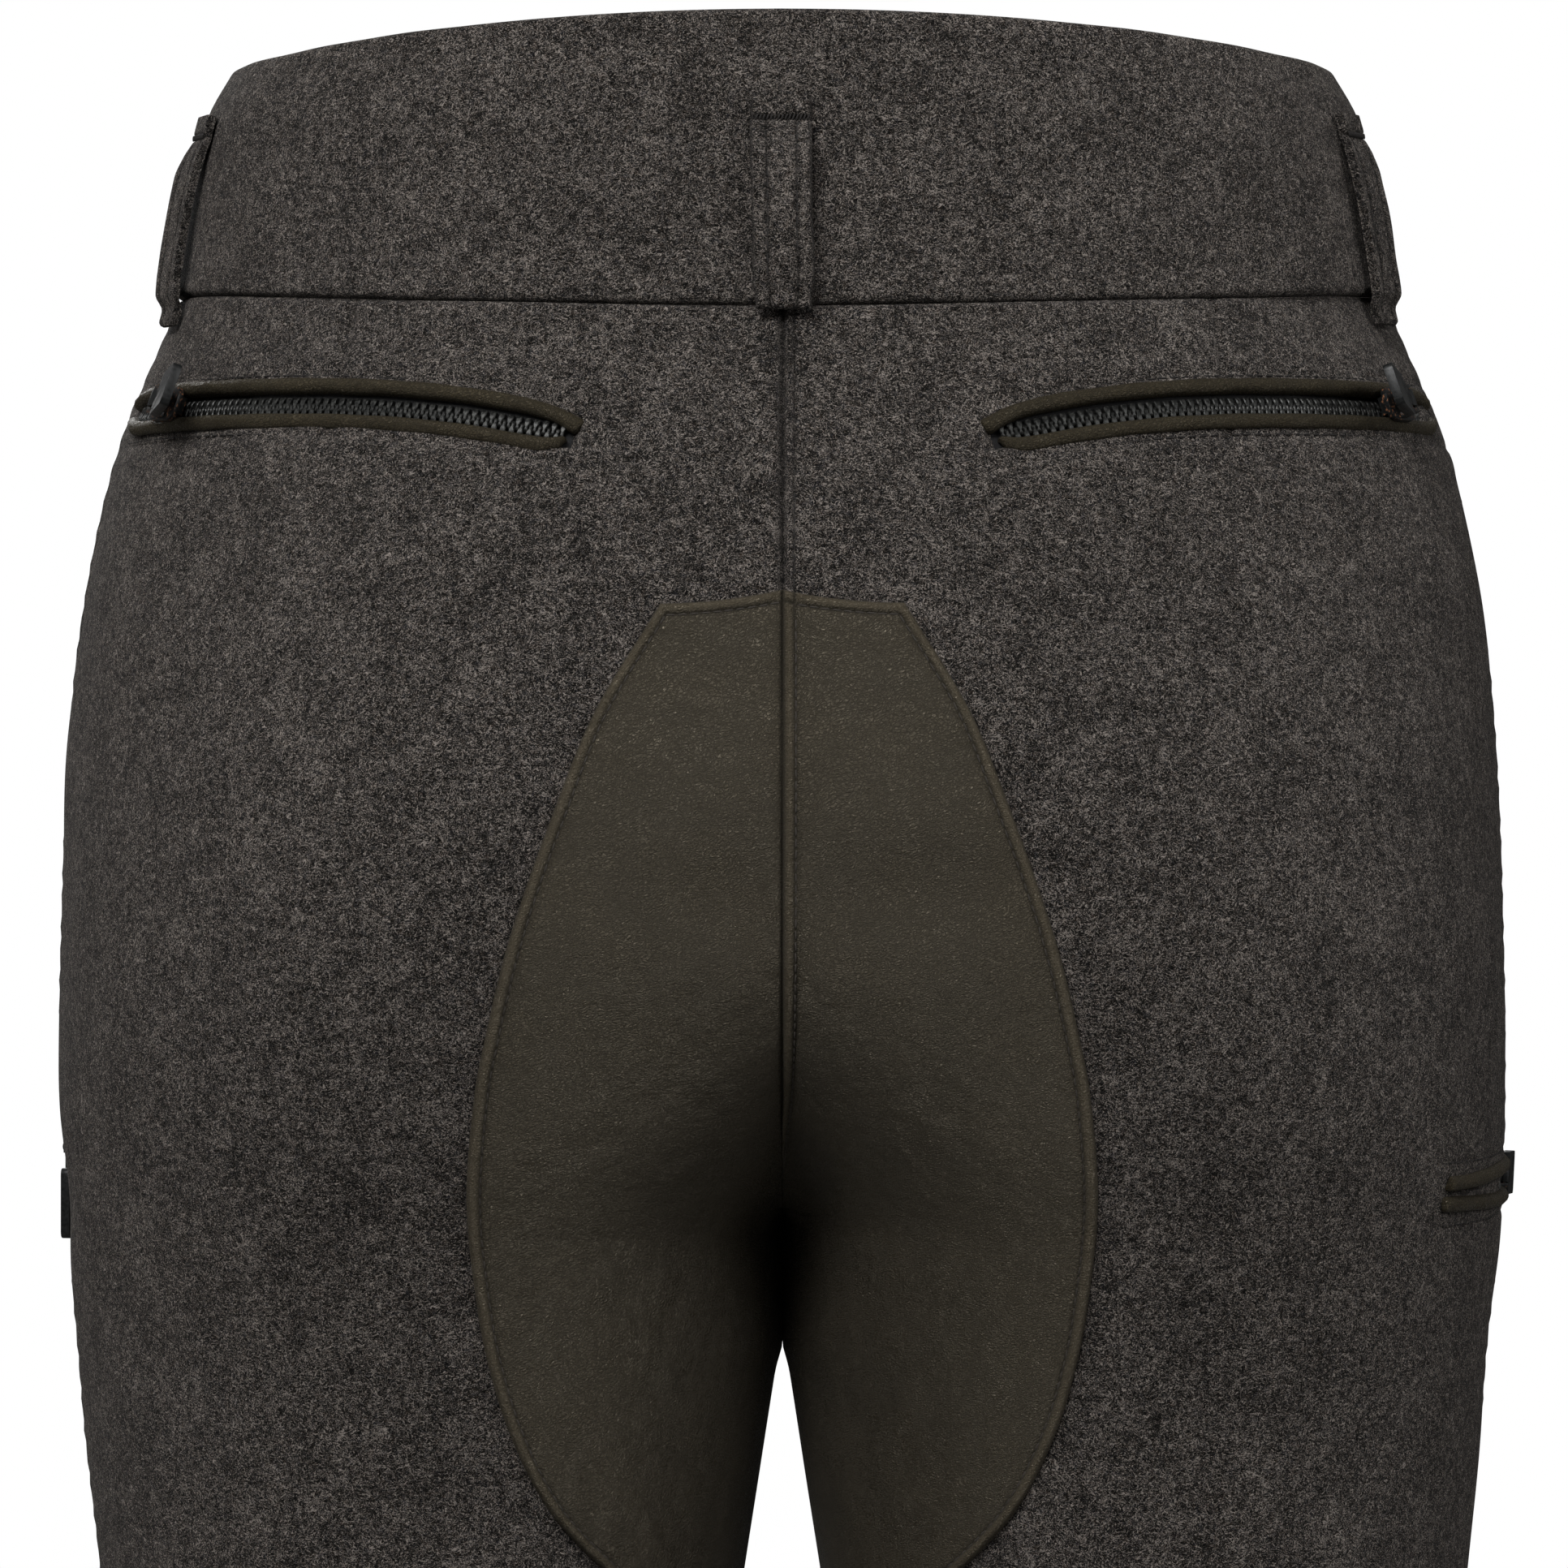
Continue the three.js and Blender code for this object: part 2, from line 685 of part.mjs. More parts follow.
function addPocket(label, side, welts, slot, tape, tapeHalf, sliderFrame, hangs, toward) {
  ['upper', 'lower'].forEach((row, k) => {
    const [upper, lower] = weltShape(k === 0 ? 1 : -1);
    addPart(`${label}_welt_${row}`, strip(welts, upper, lower, side), COLOURS.leather);
  });
  addPart(`${label}_zip`, zip(tape, tapeHalf, side), COLOURS.tape);
  addPart(`${label}_slider`, laidOut(sliderSolid(hangs), sliderFrame, 1, side), COLOURS.metal, METAL);
  const axis = hangs ? sliderFrame.ahead : sliderFrame.across;
  addPart(`${label}_pull`, pullLaid(sliderFrame, axis, toward, side), COLOURS.metal, METAL);
  return slotCutter(slot, side);
}

// Places along a zip, whose tape runs past the slot and whose chain stops just inside it
function zipLine(spotsOf, from, to, count, reach) {
  const unit = Math.sign(to - from) * reach;
  const inside = spotsOf(from + unit * CHAIN_SHORT, to - unit * CHAIN_SHORT, count);
  const first = [from - unit * TAPE_PAST, from + unit * CHAIN_STEP].map((at) => spotsOf(at, to, 1)[0]);
  const last = [to - unit * CHAIN_STEP, to + unit * TAPE_PAST].map((at) => spotsOf(from, at, 1)[1]);
  return frames([...first, ...inside, ...last]);
}

for (const [word, side] of [['left', 1], ['right', -1]]) {
  const backCut = addPocket(
    `back_${word}`,
    side,
    frames(backSpots(BACK_FROM, BACK_TO, WELT_STEPS)),
    frames(backSpots(BACK_FROM + SLOT_END, BACK_TO - SLOT_END / 2, WELT_STEPS)),
    zipLine(backSpots, BACK_FROM + SLOT_END, BACK_TO - SLOT_END / 2, WELT_STEPS, TAPE_REACH.back),
    TAPE_HALF,
    frames(backSpots(BACK_SLIDER_X - SLIDER_REACH, BACK_SLIDER_X + SLIDER_REACH, 2))[1],
    false,
    BACK_PULL_WAY,
  );
  const pocket = THIGH[word];
  const spotsOf = (from, to, count) => thighSpots(pocket, from, to, count);
  const opensTo = pocket.to + THIGH_SLOT_END;
  const thighSlider = frames(spotsOf(pocket.slider + 1, pocket.slider - 1, 2))[1];
  const thighCut = addPocket(
    `thigh_${word}`,
    side,
    frames(spotsOf(pocket.from, pocket.to, WELT_STEPS)),
    frames(spotsOf(pocket.opens, opensTo, WELT_STEPS / 2)),
    zipLine(spotsOf, pocket.opens, opensTo, WELT_STEPS / 2, TAPE_REACH.thigh),
    THIGH_TAPE_HALF,
    thighSlider,
    pocket.hangs,
    pocket.hangs ? DOWN : thighSlider.ahead.clone().addScaledVector(thighSlider.up, THIGH_PULL_LIFT),
  );
  const [backOver, backUnder] = panelGrid(1);
  const [frontOver, frontUnder] = panelGrid(-1);
  const back = toManifold(slab(backOver, backUnder, side)).subtract(toManifold(backCut));
  const front = toManifold(slab(frontOver, frontUnder, side)).subtract(toManifold(thighCut));
  addPart(`back_${word}`, toGeometry(back), COLOURS.loden);
  addPart(`front_${word}`, toGeometry(front), COLOURS.loden);
}

// Leather seat, laid on the back panels: the panel's own flat facets, where those stand outside the form
function onPanel(grid, z, share, out) {
  const levels = [0, ...LEVELS];
  let row = 1;
  while (z < levels[row + 1]) row += 1;
  const down = (z - levels[row]) / (levels[row + 1] - levels[row]);
  const spot = Math.min(COLUMNS.back - 1e-6, share * COLUMNS.back);
  const column = Math.floor(spot);
  const line = (points) => points[column].clone().lerp(points[column + 1], spot - column);
  const flat = line(grid[row]).lerp(line(grid[row + 1]), down);
  const base = place(z, turnOfShare(fabric(z, 1), share));
  const up = outward(base);
  const proud = Math.max(0, flat.sub(base).dot(up));
  return base.addScaledVector(up, proud + out);
}

function seatPatch(side) {
  const [grid] = panelGrid(1);
  const [highest, lowest] = [SEAT[0].z, SEAT[SEAT.length - 1].z];
  const levels = [highest, ...SEAT_ROWS, ...LEVELS.filter((z) => z < highest && z > lowest)];
  levels.sort((a, b) => b - a);
  const starts = levels.map((level) => {
    const turn = turnAt(level, along(SEAT, 'reach', level));
    return Math.min(shareOfTurn(fabric(level, 1), turn), 1 - SEAT_LEAST);
  });
  const column = Math.floor(Math.min(...starts) * COLUMNS.back);
  const over = [];
  const under = [];
  levels.forEach((level, i) => {
    const start = starts[i];
    const outerRow = [];
    const innerRow = [];
    for (let j = column; j <= COLUMNS.back; j += 1) {
      const share = Math.max(j / COLUMNS.back, start + SEAT_SQUEEZE * (j - column));
      const middle = (share - start) / (1 - start);
      const z = level + SEAT_ARCH * middle * middle * fade(level, SEAT_ARCH_ENDS, highest);
      outerRow.push(onPanel(grid, z, share, SEAT_AIR + LEATHER));
      innerRow.push(onPanel(grid, z, share, SEAT_AIR));
    }
    over.push(outerRow);
    under.push(innerRow);
  });
  const patch = toManifold(slab(over, under));
  const half = patch.trimByPlane([1, 0, 0], AIR / 2);
  return toGeometry(side > 0 ? half : half.mirror([1, 0, 0]));
}

addPart('seat_patch_left', seatPatch(1), COLOURS.leather);
addPart('seat_patch_right', seatPatch(-1), COLOURS.leather);

// Waistband: one long strip whose wearer's right end laps over the left at the front
function bandPoint(z, angle, out) {
  const whole = ((angle % 360) + 360) % 360;
  const left = whole <= 90 || whole >= 270;
  const signed = THREE.MathUtils.degToRad(whole > 180 ? whole - 360 : whole);
  const turn = left ? signed : Math.sign(signed) * (Math.PI - Math.abs(signed));
  const p = moved(z, turn, out);
  return left ? p : new THREE.Vector3(-p.x, p.y, p.z);
}

function waistband() {
  const lean = (OVERLAP_HALF / FRONT_HALF_WIDTH) ** (1 / TURN_POWER);
  const underlap = THREE.MathUtils.radToDeg(Math.acos(lean));
  const begin = 180 + underlap;
  const end = 720 - underlap;
  const over = [];
  const under = [];
  for (const angle of spaced(begin, end, BAND_COLUMNS)) {
    const lift = OVERLAP_LIFT * fade(angle, ...OVERLAP_STEP.map((before) => begin + 360 - before));
    const turn = THREE.MathUtils.degToRad(angle);
    const foot = bandFoot(turn);
    const top = bandTop(turn);
    const heights = [foot, ...BAND_ROWS, top - TOP_ROLL, top];
    const rolled = (i) => (i === heights.length - 1 ? TOP_ROLL : 0);
    over.push(heights.map((z, i) => bandPoint(z, angle, BAND_PROUD + lift - rolled(i))));
    under.push(heights.map((z, i) => bandPoint(z, angle, BAND_PROUD + lift - BAND + rolled(i))));
  }
  return slab(over, under);
}

addPart('waistband', waistband(), COLOURS.loden);

// Belt loops: flat straps sewn down at the top and caught in the band's lower seam
function beltLoop(loop, side) {
  const turn = THREE.MathUtils.degToRad(loop.turn);
  const over = [];
  const under = [];
  const middle = place(LOOP_MIDDLE, turn);
  const across = new THREE.Vector3(0, 0, 1).cross(outward(middle)).normalize();
  for (const row of LOOP_LINE) {
    const shift = loop.low ? 0 : bandFoot(turn) - FOOT_SIDE - FOOT_BACK;
    const z = row.z + shift * fade(row.z, LOOP_HEM_FROM, LOOP_TUCK_FROM);
    const turnedIn = loop.low ? LOOP_TURNED_IN.by * fade(row.z, LOOP_TURNED_IN.from, LOOP_TURNED_IN.to) : 0;
    const off = LOOP_LEAST + (row.off - LOOP_LEAST) * loop.bulge - turnedIn;
    const twist = loop.twist * Math.min(1, (row.off - LOOP_LEAST) / LOOP_TWIST_FULL);
    const inside = moved(z, turn, BAND_PROUD + off);
    const outside = moved(z, turn, BAND_PROUD + off + LOOP);
    const up = outside.clone().sub(inside).normalize();
    const half = LOOP_WIDTH / 2 - (row.z < LOOP_TUCK_FROM ? LOOP_TUCK : 0);
    const edge = (from, a) => set({ p: from, across, up }, a, (-twist * a) / half);
    over.push([-half, half].map((a) => edge(outside, a)));
    under.push([-half, half].map((a) => edge(inside, a)));
  }
  return slab(over, under, side);
}

addPart('belt_loop_back', beltLoop(LOOPS.back, 1), COLOURS.loden);
addPart('belt_loop_side_left', beltLoop(LOOPS.left, 1), COLOURS.loden);
addPart('belt_loop_side_right', beltLoop(LOOPS.right, -1), COLOURS.loden);
addPart('belt_loop_front_left', beltLoop(LOOPS.front, 1), COLOURS.loden);
addPart('belt_loop_front_right', beltLoop(LOOPS.front, -1), COLOURS.loden);

// Waist button, sewn through four holes
function button() {
  const r = BUTTON.radius;
  const high = BUTTON.thick;
  const bottom = high - BUTTON.dish;
  const profile = [
    [0, 0], [r - BUTTON.edge, 0], [r, BUTTON.edge], [r, high - BUTTON.edge], [r - BUTTON.lip, high],
    [r - BUTTON.rim, high], [r - BUTTON.rim - BUTTON.edge, bottom], [0, bottom],
  ].map(([x, y]) => new THREE.Vector2(x, y));
  const disc = new THREE.LatheGeometry(profile, BUTTON_SIDES);
  let solid = toManifold(disc);
  if (solid.volume() < 0) {
    disc.setIndex(Array.from(disc.index.array).reverse());
    solid = toManifold(disc);
  }
  for (const [x, z] of [[1, 1], [1, -1], [-1, 1], [-1, -1]]) {
    const hole = rod(BUTTON.hole, 4 * BUTTON.thick);
    hole.translate(x * BUTTON.spread, 0, z * BUTTON.spread);
    solid = solid.subtract(toManifold(hole));
  }
  const turn = -turnAt(BUTTON.z, BUTTON.x);
  const seat = moved(BUTTON.z, turn, BAND_PROUD + OVERLAP_LIFT + AIR + BUTTON.clear);
  const up = outward(place(BUTTON.z, turn));
  const across = new THREE.Vector3(0, 0, 1).cross(up).normalize();
  const basis = new THREE.Matrix4().makeBasis(across, up, across.clone().cross(up));
  basis.setPosition(seat);
  return toGeometry(solid).applyMatrix4(basis);
}

addPart('waist_button', button(), COLOURS.button, { roughness: 0.45 });

export default group;
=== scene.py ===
"""Loden trousers with a leather seat: cloth, leather, zips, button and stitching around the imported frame.

Sizes in the tables are millimetres. +Z is up, the back of the trousers faces +Y, and +X is the wearer's left.
"""
import math

import bmesh
import bpy
import numpy as np
from mathutils import Matrix, Vector


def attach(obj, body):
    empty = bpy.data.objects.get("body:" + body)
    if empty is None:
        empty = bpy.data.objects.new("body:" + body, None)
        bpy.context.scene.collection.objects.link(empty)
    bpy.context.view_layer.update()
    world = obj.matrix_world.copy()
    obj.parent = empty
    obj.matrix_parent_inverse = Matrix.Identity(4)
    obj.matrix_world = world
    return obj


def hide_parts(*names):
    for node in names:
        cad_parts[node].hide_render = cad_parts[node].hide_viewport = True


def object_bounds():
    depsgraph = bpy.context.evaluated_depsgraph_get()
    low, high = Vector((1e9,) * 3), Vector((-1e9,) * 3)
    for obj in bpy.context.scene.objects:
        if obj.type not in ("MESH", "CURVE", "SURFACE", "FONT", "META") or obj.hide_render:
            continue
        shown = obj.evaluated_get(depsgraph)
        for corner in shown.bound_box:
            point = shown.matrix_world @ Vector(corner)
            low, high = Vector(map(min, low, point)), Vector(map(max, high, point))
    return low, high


bl_info = {
    "name": "Loden trousers",
    "version": (1, 0, 0),
    "blender": (4, 5, 0),
    "location": "View3D > Sidebar > Trousers",
    "description": "Makes loden trousers with a leather seat, zip pockets and belt loops",
    "category": "Object",
}

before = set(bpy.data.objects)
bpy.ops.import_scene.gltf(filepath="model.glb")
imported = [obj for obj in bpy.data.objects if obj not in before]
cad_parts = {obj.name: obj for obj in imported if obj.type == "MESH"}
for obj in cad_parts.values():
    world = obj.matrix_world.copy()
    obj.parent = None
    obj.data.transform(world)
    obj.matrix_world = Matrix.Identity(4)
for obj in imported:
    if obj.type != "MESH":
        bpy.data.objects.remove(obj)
CAD_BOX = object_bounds()
MM = 0.001

# The garment's own sizes: gaps and thicknesses, then heights
AIR = 0.3
LODEN = 2.0
HEM_LODEN = 3.6
HEM_TURN = 30
BAND = 4.0
BAND_PROUD = 1.2
LOOP = 2.2
ROUNDNESS = 2.2
TURN_POWER = 2 / ROUNDNESS
CROTCH = -291
SEAT_TOP = -165
WHOLE = 0.03
CLEFT, CLEFT_FROM, CLEFT_TO = 12, -200, -270
HEM = -1060
TOP_BACK, TOP_FRONT = 9.2, -8
FOOT_SIDE, FOOT_BACK, FOOT_FRONT = -57.3, -6, -1
EVEN_FROM, EVEN_TO, EVEN_POWER = -254, -326, 5


def table(names, rows):
    columns = np.array(rows, float).T
    return dict(zip(names, columns))


# Half-width, each half's deepest line, and the depths before and behind the side seams, by height
FORM = table(("z", "outer", "middle", "front", "back"), [
    (12, 131.0, 0, 103, 100),
    (0, 137.2, 0, 105, 102),
    (-14, 144.8, 0, 107, 104.5),
    (-35, 149.0, 0, 110, 108),
    (-58, 153.0, 1, 113, 112),
    (-72, 158.2, 3, 114.5, 115.5),
    (-88, 165.2, 7, 115.5, 120.5),
    (-105, 170.6, 13, 115.5, 125.5),
    (-121, 174.2, 19, 115, 129.5),
    (-138, 177.1, 26, 114, 133),
    (-154, 179.1, 33.5, 113, 135.5),
    (-179, 180.9, 46, 111, 138.5),
    (-210, 182.1, 61, 108, 138),
    (-240, 182.7, 73.5, 105.5, 133),
    (-261, 182.6, 81, 104, 127),
    (-294, 181.0, 88.5, 102, 114.5),
    (-320, 178.3, 90.3, 101, 106.5),
    (-345, 176.2, 91.2, 99.5, 101.5),
    (-379, 172.3, 91.8, 97, 96),
    (-430, 166.8, 92.8, 91.5, 86.5),
    (-500, 161.8, 95.2, 83.5, 76),
    (-570, 159.2, 97.7, 75, 67.5),
    (-640, 158.5, 100.0, 67.5, 60.5),
    (-710, 160.8, 102.6, 59, 65),
    (-780, 163.5, 105.3, 52, 71),
    (-850, 163.3, 107.6, 48.5, 68),
    (-930, 161.2, 110.0, 47.5, 60.5),
    (-1000, 159.0, 112.0, 48.5, 54),
    (-1060, 157.5, 113.5, 50, 50),
])

# Half the space between the two legs' cloth, by height
BETWEEN = table(("z", "inner"), [
    (-287, 2.1), (-319, 2.2), (-327, 3.3), (-335, 4.5), (-352, 7.1), (-379, 11.3), (-430, 18.8), (-500, 28.5),
    (-570, 36.3), (-640, 41.5), (-710, 44.5), (-780, 47.0), (-850, 52.0), (-930, 59.0), (-1000, 65.0),
    (-1060, 69.5),
])

# Reach of the leather seat from the centre seam, by height
SEAT = table(("z", "reach"), [
    (-136.5, 29.4), (-164, 45.8), (-188, 55.4), (-206, 61.9), (-223, 67.2), (-239, 71.0), (-255, 74.2),
    (-281, 76.4), (-309, 73.9), (-329, 69.7), (-344, 64.4), (-358, 57.0), (-371, 46.0), (-384, 32.0),
    (-394, 21.0), (-399, 17.5),
])
SEAT_ARCH = 3.2

# The line of a back pocket's zip
BACK_ZIP = table(("x", "z"), [
    (46.5, -96.8), (58, -93.9), (72, -91.1), (88, -88.9), (104, -87.6), (120, -87.0), (136, -86.8),
    (150, -86.9), (160.5, -87.3),
])
# Thigh pockets, in degrees round from the side seam, + to the back
THIGH = {
    "left": {"z": -273, "from": -10, "to": -74, "opens": -14},
    "right": {"z": -279.5, "from": 38, "to": -46, "opens": 12},
}
THIGH_DROP = 1.5

# Belt loops: stand-off from the band, by height
LOOP_LINE = table(("z", "off"), [
    (-14.2, 0.3), (-18.6, 0.3), (-23, 2.4), (-29, 4.6), (-37, 5.3), (-46, 5.4), (-53, 5.2), (-58.5, 4.0),
    (-62.5, 2.0), (-65.5, 1.5),
])
LOOP_WIDTH = 15
LOOP_LEAST = 0.3
LOOP_TWIST_FULL = 4
LOOP_TURNED_IN = {"by": 1.35, "from": -59, "to": -62}  # a low loop's foot, drawn in below the band
# Each loop: name, turn from the side seam, side, how much further off it stands, how far its rear edge is
# drawn in, and whether it reaches below the band
LOOPS = (
    ("belt_loop_back", 90, 1, 1, 0, False), ("belt_loop_side_left", 12, 1, 0.5, 0.9, True),
    ("belt_loop_side_right", 17, -1, 0.45, 0.8, True), ("belt_loop_front_left", -57, 1, 1, 0, False),
    ("belt_loop_front_right", -57, -1, 1, 0, False),
)
OVERLAP_HALF, OVERLAP_LIFT, FRONT_HALF_WIDTH = 20, 4.3, 148
BUTTON = {"hole": 1.0, "spread": 2.2, "z": -33, "x": 6, "clear": 0.15}


def along(rows, name, at, key="z"):
    """Monotone curve through the rows of a table, read at many places."""
    keys, values, at = rows[key], rows[name], np.asarray(at, float)
    if keys[0] > keys[-1]:
        keys, at = -keys, -at
    slopes = np.diff(values) / np.diff(keys)
    both = slopes[:-1] * slopes[1:]
    total = np.where(both > 0, slopes[:-1] + slopes[1:], 1)
    lean = np.concatenate([slopes[:1], np.where(both > 0, 2 * both / total, 0), slopes[-1:]])
    k = np.clip(np.searchsorted(keys, at, side="right") - 1, 0, len(keys) - 2)
    step = keys[k + 1] - keys[k]
    s = np.clip((at - keys[k]) / step, 0, 1)
    rise = s * s * (3 - 2 * s)
    out = values[k] * (1 - rise) + values[k + 1] * rise
    out = out + s * (1 - s) ** 2 * step * lean[k] + s * s * (s - 1) * step * lean[k + 1]
    return out + slopes[0] * np.minimum(at - keys[0], 0) + slopes[-1] * np.maximum(at - keys[-1], 0)


def fade(value, start, stop):
    s = np.clip((np.asarray(value, float) - start) / (stop - start), 0, 1)
    return s * s * (3 - 2 * s)


def hump(value, width):
    """1 at 0 and falling softly to nothing a little past width."""
    return np.exp(-((np.asarray(value, float) / width) ** 2))


def power(value, exponent):
    return np.sign(value) * np.abs(value) ** exponent


def joined(z):
    up = np.clip((z - CROTCH) / (SEAT_TOP - CROTCH), 0, 1)
    return 1 - (1 - up ** 1.5) ** 1.5


def section(z):
    """One half's level section at each height."""
    z = np.asarray(z, float)
    soft = CLEFT * fade(z, CLEFT_TO, CLEFT_FROM)
    outer = np.hypot(along(FORM, "outer", z), soft)
    middle = np.maximum(0, along(FORM, "middle", z))
    between = np.where(z > CROTCH, BETWEEN["inner"][0], along(BETWEEN, "inner", z))
    one = joined(z)
    inward = np.maximum(1, middle - between) / np.maximum(WHOLE, (1 - one) / (1 + one))
    return soft, middle, outer - middle, inward, along(FORM, "front", z), along(FORM, "back", z)


def place(z, turn):
    """Points on the outside of the wearer's left half, at a height and a turn from the side seam."""
    z, turn = np.broadcast_arrays(np.asarray(z, float), np.asarray(turn, float))
    soft, middle, outward_half, inward_half, front, back = section(z)
    lean = power(np.cos(turn), TURN_POWER)
    across = middle + lean * np.where(lean > 0, outward_half, inward_half)
    depth = np.where(turn >= 0, back, front) * power(np.sin(turn), TURN_POWER)
    return np.stack([np.sqrt(np.maximum(0, across ** 2 - soft ** 2)), depth, z], -1)


def form(p):
    soft, middle, outward_half, inward_half, front, back = section(p[..., 2])
    off = np.hypot(p[..., 0], soft) - middle
    across = np.where(off > 0, off / outward_half, -off / inward_half)
    depth = np.abs(p[..., 1]) / np.where(p[..., 1] >= 0, back, front)
    return across ** ROUNDNESS + depth ** ROUNDNESS - 1


def unit(v):
    return v / np.maximum(np.linalg.norm(v, axis=-1, keepdims=True), 1e-12)


def outward(p):
    """Directions straight out of the form at points on it."""
    parts = []
    for k, h in enumerate((0.02, 0.02, 0.8)):
        step = np.zeros(3)
        step[k] = h
        parts.append((form(p + step) - form(p - step)) / (2 * h))
    return unit(np.stack(parts, -1))


def turn_at(z, x):
    soft, middle, outward_half, inward_half, _, _ = section(z)
    off = np.hypot(x, soft) - middle
    lean = np.where(off > 0, off / outward_half, off / inward_half)
    return np.arccos(power(np.clip(lean, -1, 1), 1 / TURN_POWER))


def turn_of_depth(z, y, facing):
    _, _, _, _, front, back = section(z)
    return np.arcsin((y / (back if facing > 0 else front)) ** (1 / TURN_POWER))


def moved(z, turn, out):
    p = place(z, turn)
    return p + outward(p) * np.asarray(out)[..., None]


GIRTH_STEPS = 320


def girth(z, facing):
    """For each height: turns from the side seam to the inner seam, and the girth up to each."""
    z = np.atleast_1d(np.asarray(z, float))
    first = turn_of_depth(z, AIR / 2, facing)
    last = np.minimum(turn_at(z, AIR / 2), math.pi - first)
    s = np.linspace(0, 1, GIRTH_STEPS + 1)
    turns = first[:, None] + (last - first)[:, None] * (1 - (1 - s) ** 2)
    points = place(z[:, None], facing * turns)
    run = np.concatenate(
        [np.zeros((len(z), 1)), np.cumsum(np.linalg.norm(np.diff(points, axis=1), axis=2), axis=1)], axis=1
    )
    return turns, run


def turns_of_shares(z, facing, shares):
    """Turns of evenly spaced columns, whose spacing changes evenly past the crotch."""
    turns, run = girth(z, facing)
    whole = run[:, -1]
    above, below = (girth(level, facing)[1][0, -1] for level in (EVEN_FROM, EVEN_TO))
    past = (z - EVEN_FROM) / (EVEN_TO - EVEN_FROM)
    even = np.where((z < EVEN_FROM) & (z > EVEN_TO), above + (below - above) * past, whole)
    want = shares * even[:, None] + shares ** EVEN_POWER * (whole - even)[:, None]
    return np.stack([np.interp(w, r, t) for w, r, t in zip(want, run, turns)])


def at_middle(turn):
    return 1 - np.abs(np.cos(turn)) ** (2 * TURN_POWER)


def band_top(turn):
    return np.where(np.sin(turn) >= 0, TOP_BACK, TOP_FRONT) * at_middle(turn)


def band_foot(turn):
    return FOOT_SIDE + np.where(np.sin(turn) >= 0, FOOT_BACK, FOOT_FRONT) * at_middle(turn)


def sided(points, side):
    return points * np.array([side, 1, 1])


def spread(whole, base, dense=()):
    """Places from 0 to whole, base apart, closer where a dense row (centre, half-width, spacing) asks."""
    places, at = [0.0], 0.0
    while at < whole:
        step = base
        for centre, half, close in dense:
            past = max(0.0, abs(at - centre) - half)
            step = min(step, close + past * 0.35)
        at += step
        places.append(at)
    return np.array(places) * (whole / places[-1])


# Mesh making
def new_piece(name, points, faces, materials, smooth=True, sharp=40, indices=None):
    """A mesh object from points in millimetres."""
    mesh = bpy.data.meshes.new(name)
    mesh.from_pydata([tuple(p) for p in np.asarray(points) * MM], [], [tuple(f) for f in faces])
    for material in materials:
        mesh.materials.append(material)
    if indices is not None:
        mesh.polygons.foreach_set("material_index", np.asarray(indices, np.int32))
    if smooth:
        mesh.shade_smooth()
        mesh.set_sharp_from_angle(angle=math.radians(sharp))
    mesh.update()
    piece = bpy.data.objects.new(name, mesh)
    bpy.context.scene.collection.objects.link(piece)
    return piece


def wall(over, under):
    """Points and faces of a closed sheet between two grids."""
    rows, columns = over.shape[:2]
    ring = 2 * columns
    points = np.concatenate([over, under[:, ::-1]], axis=1).reshape(-1, 3)
    i, j = np.meshgrid(np.arange(rows - 1), np.arange(ring), indexing="ij")
    i, j = i.ravel(), j.ravel()
    after = (j + 1) % ring
    faces = np.stack([i * ring + j, i * ring + after, (i + 1) * ring + after, (i + 1) * ring + j], 1)
    k = np.arange(columns - 1)
    end = (rows - 1) * ring
    caps = [
        np.stack([k, ring - 1 - k, ring - 2 - k, k + 1], 1),
        np.stack([end + k + 1, end + ring - 2 - k, end + ring - 1 - k, end + k], 1),
    ]
    faces = np.concatenate([faces, *caps])
    a, b, c = points[faces[:, 0]], points[faces[:, 1]], points[faces[:, 2]]
    d = points[faces[:, 3]]
    volume = (a * np.cross(b, c)).sum() + (a * np.cross(c, d)).sum()
    return points, faces if volume > 0 else faces[:, ::-1]


def tube(sections):
    """Points and faces of a closed tube through a row of closed cross-sections."""
    rows, ring = sections.shape[:2]
    points = sections.reshape(-1, 3)
    i, j = np.meshgrid(np.arange(rows - 1), np.arange(ring), indexing="ij")
    i, j = i.ravel(), j.ravel()
    after = (j + 1) % ring
    faces = np.stack([i * ring + j, (i + 1) * ring + j, (i + 1) * ring + after, i * ring + after], 1)
    faces = [list(f) for f in faces]
    faces.append(list(range(ring)))
    faces.append([(rows - 1) * ring + j for j in reversed(range(ring))])
    return points, faces


def outside_out(piece):
    """Turns every face of a closed mesh to look outward."""
    work = bmesh.new()
    work.from_mesh(piece.data)
    bmesh.ops.recalc_face_normals(work, faces=work.faces)
    work.to_mesh(piece.data)
    work.free()
    piece.data.shade_smooth()
    piece.data.set_sharp_from_angle(angle=math.radians(40))
    return piece


def hand_over(piece, slot, *nodes, body="trousers"):
    """Hides the frame's parts that a piece stands for and hangs the piece on what it rides on; slot, what it
    is made of, is not used.
    """
    if nodes:
        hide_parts(*nodes)
    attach(piece, body)
    return piece


def sewn_piece(name, points, faces, finish_name):
    """A closed piece of cloth, leather or thread."""
    return outside_out(new_piece(name, points, faces, [finish(finish_name)]))


def mark(piece, amount, name="push_and_painted_shade"):
    """Stores a mask on a wall's outside points: shade painted along seams and stitches, or lighter roll
    crests.
    """
    both = np.concatenate([np.clip(amount, 0, 1), 0 * amount], axis=1)
    mask = piece.data.attributes.new(name, "FLOAT", "POINT")
    mask.data.foreach_set("value", both.ravel().astype(np.float32))


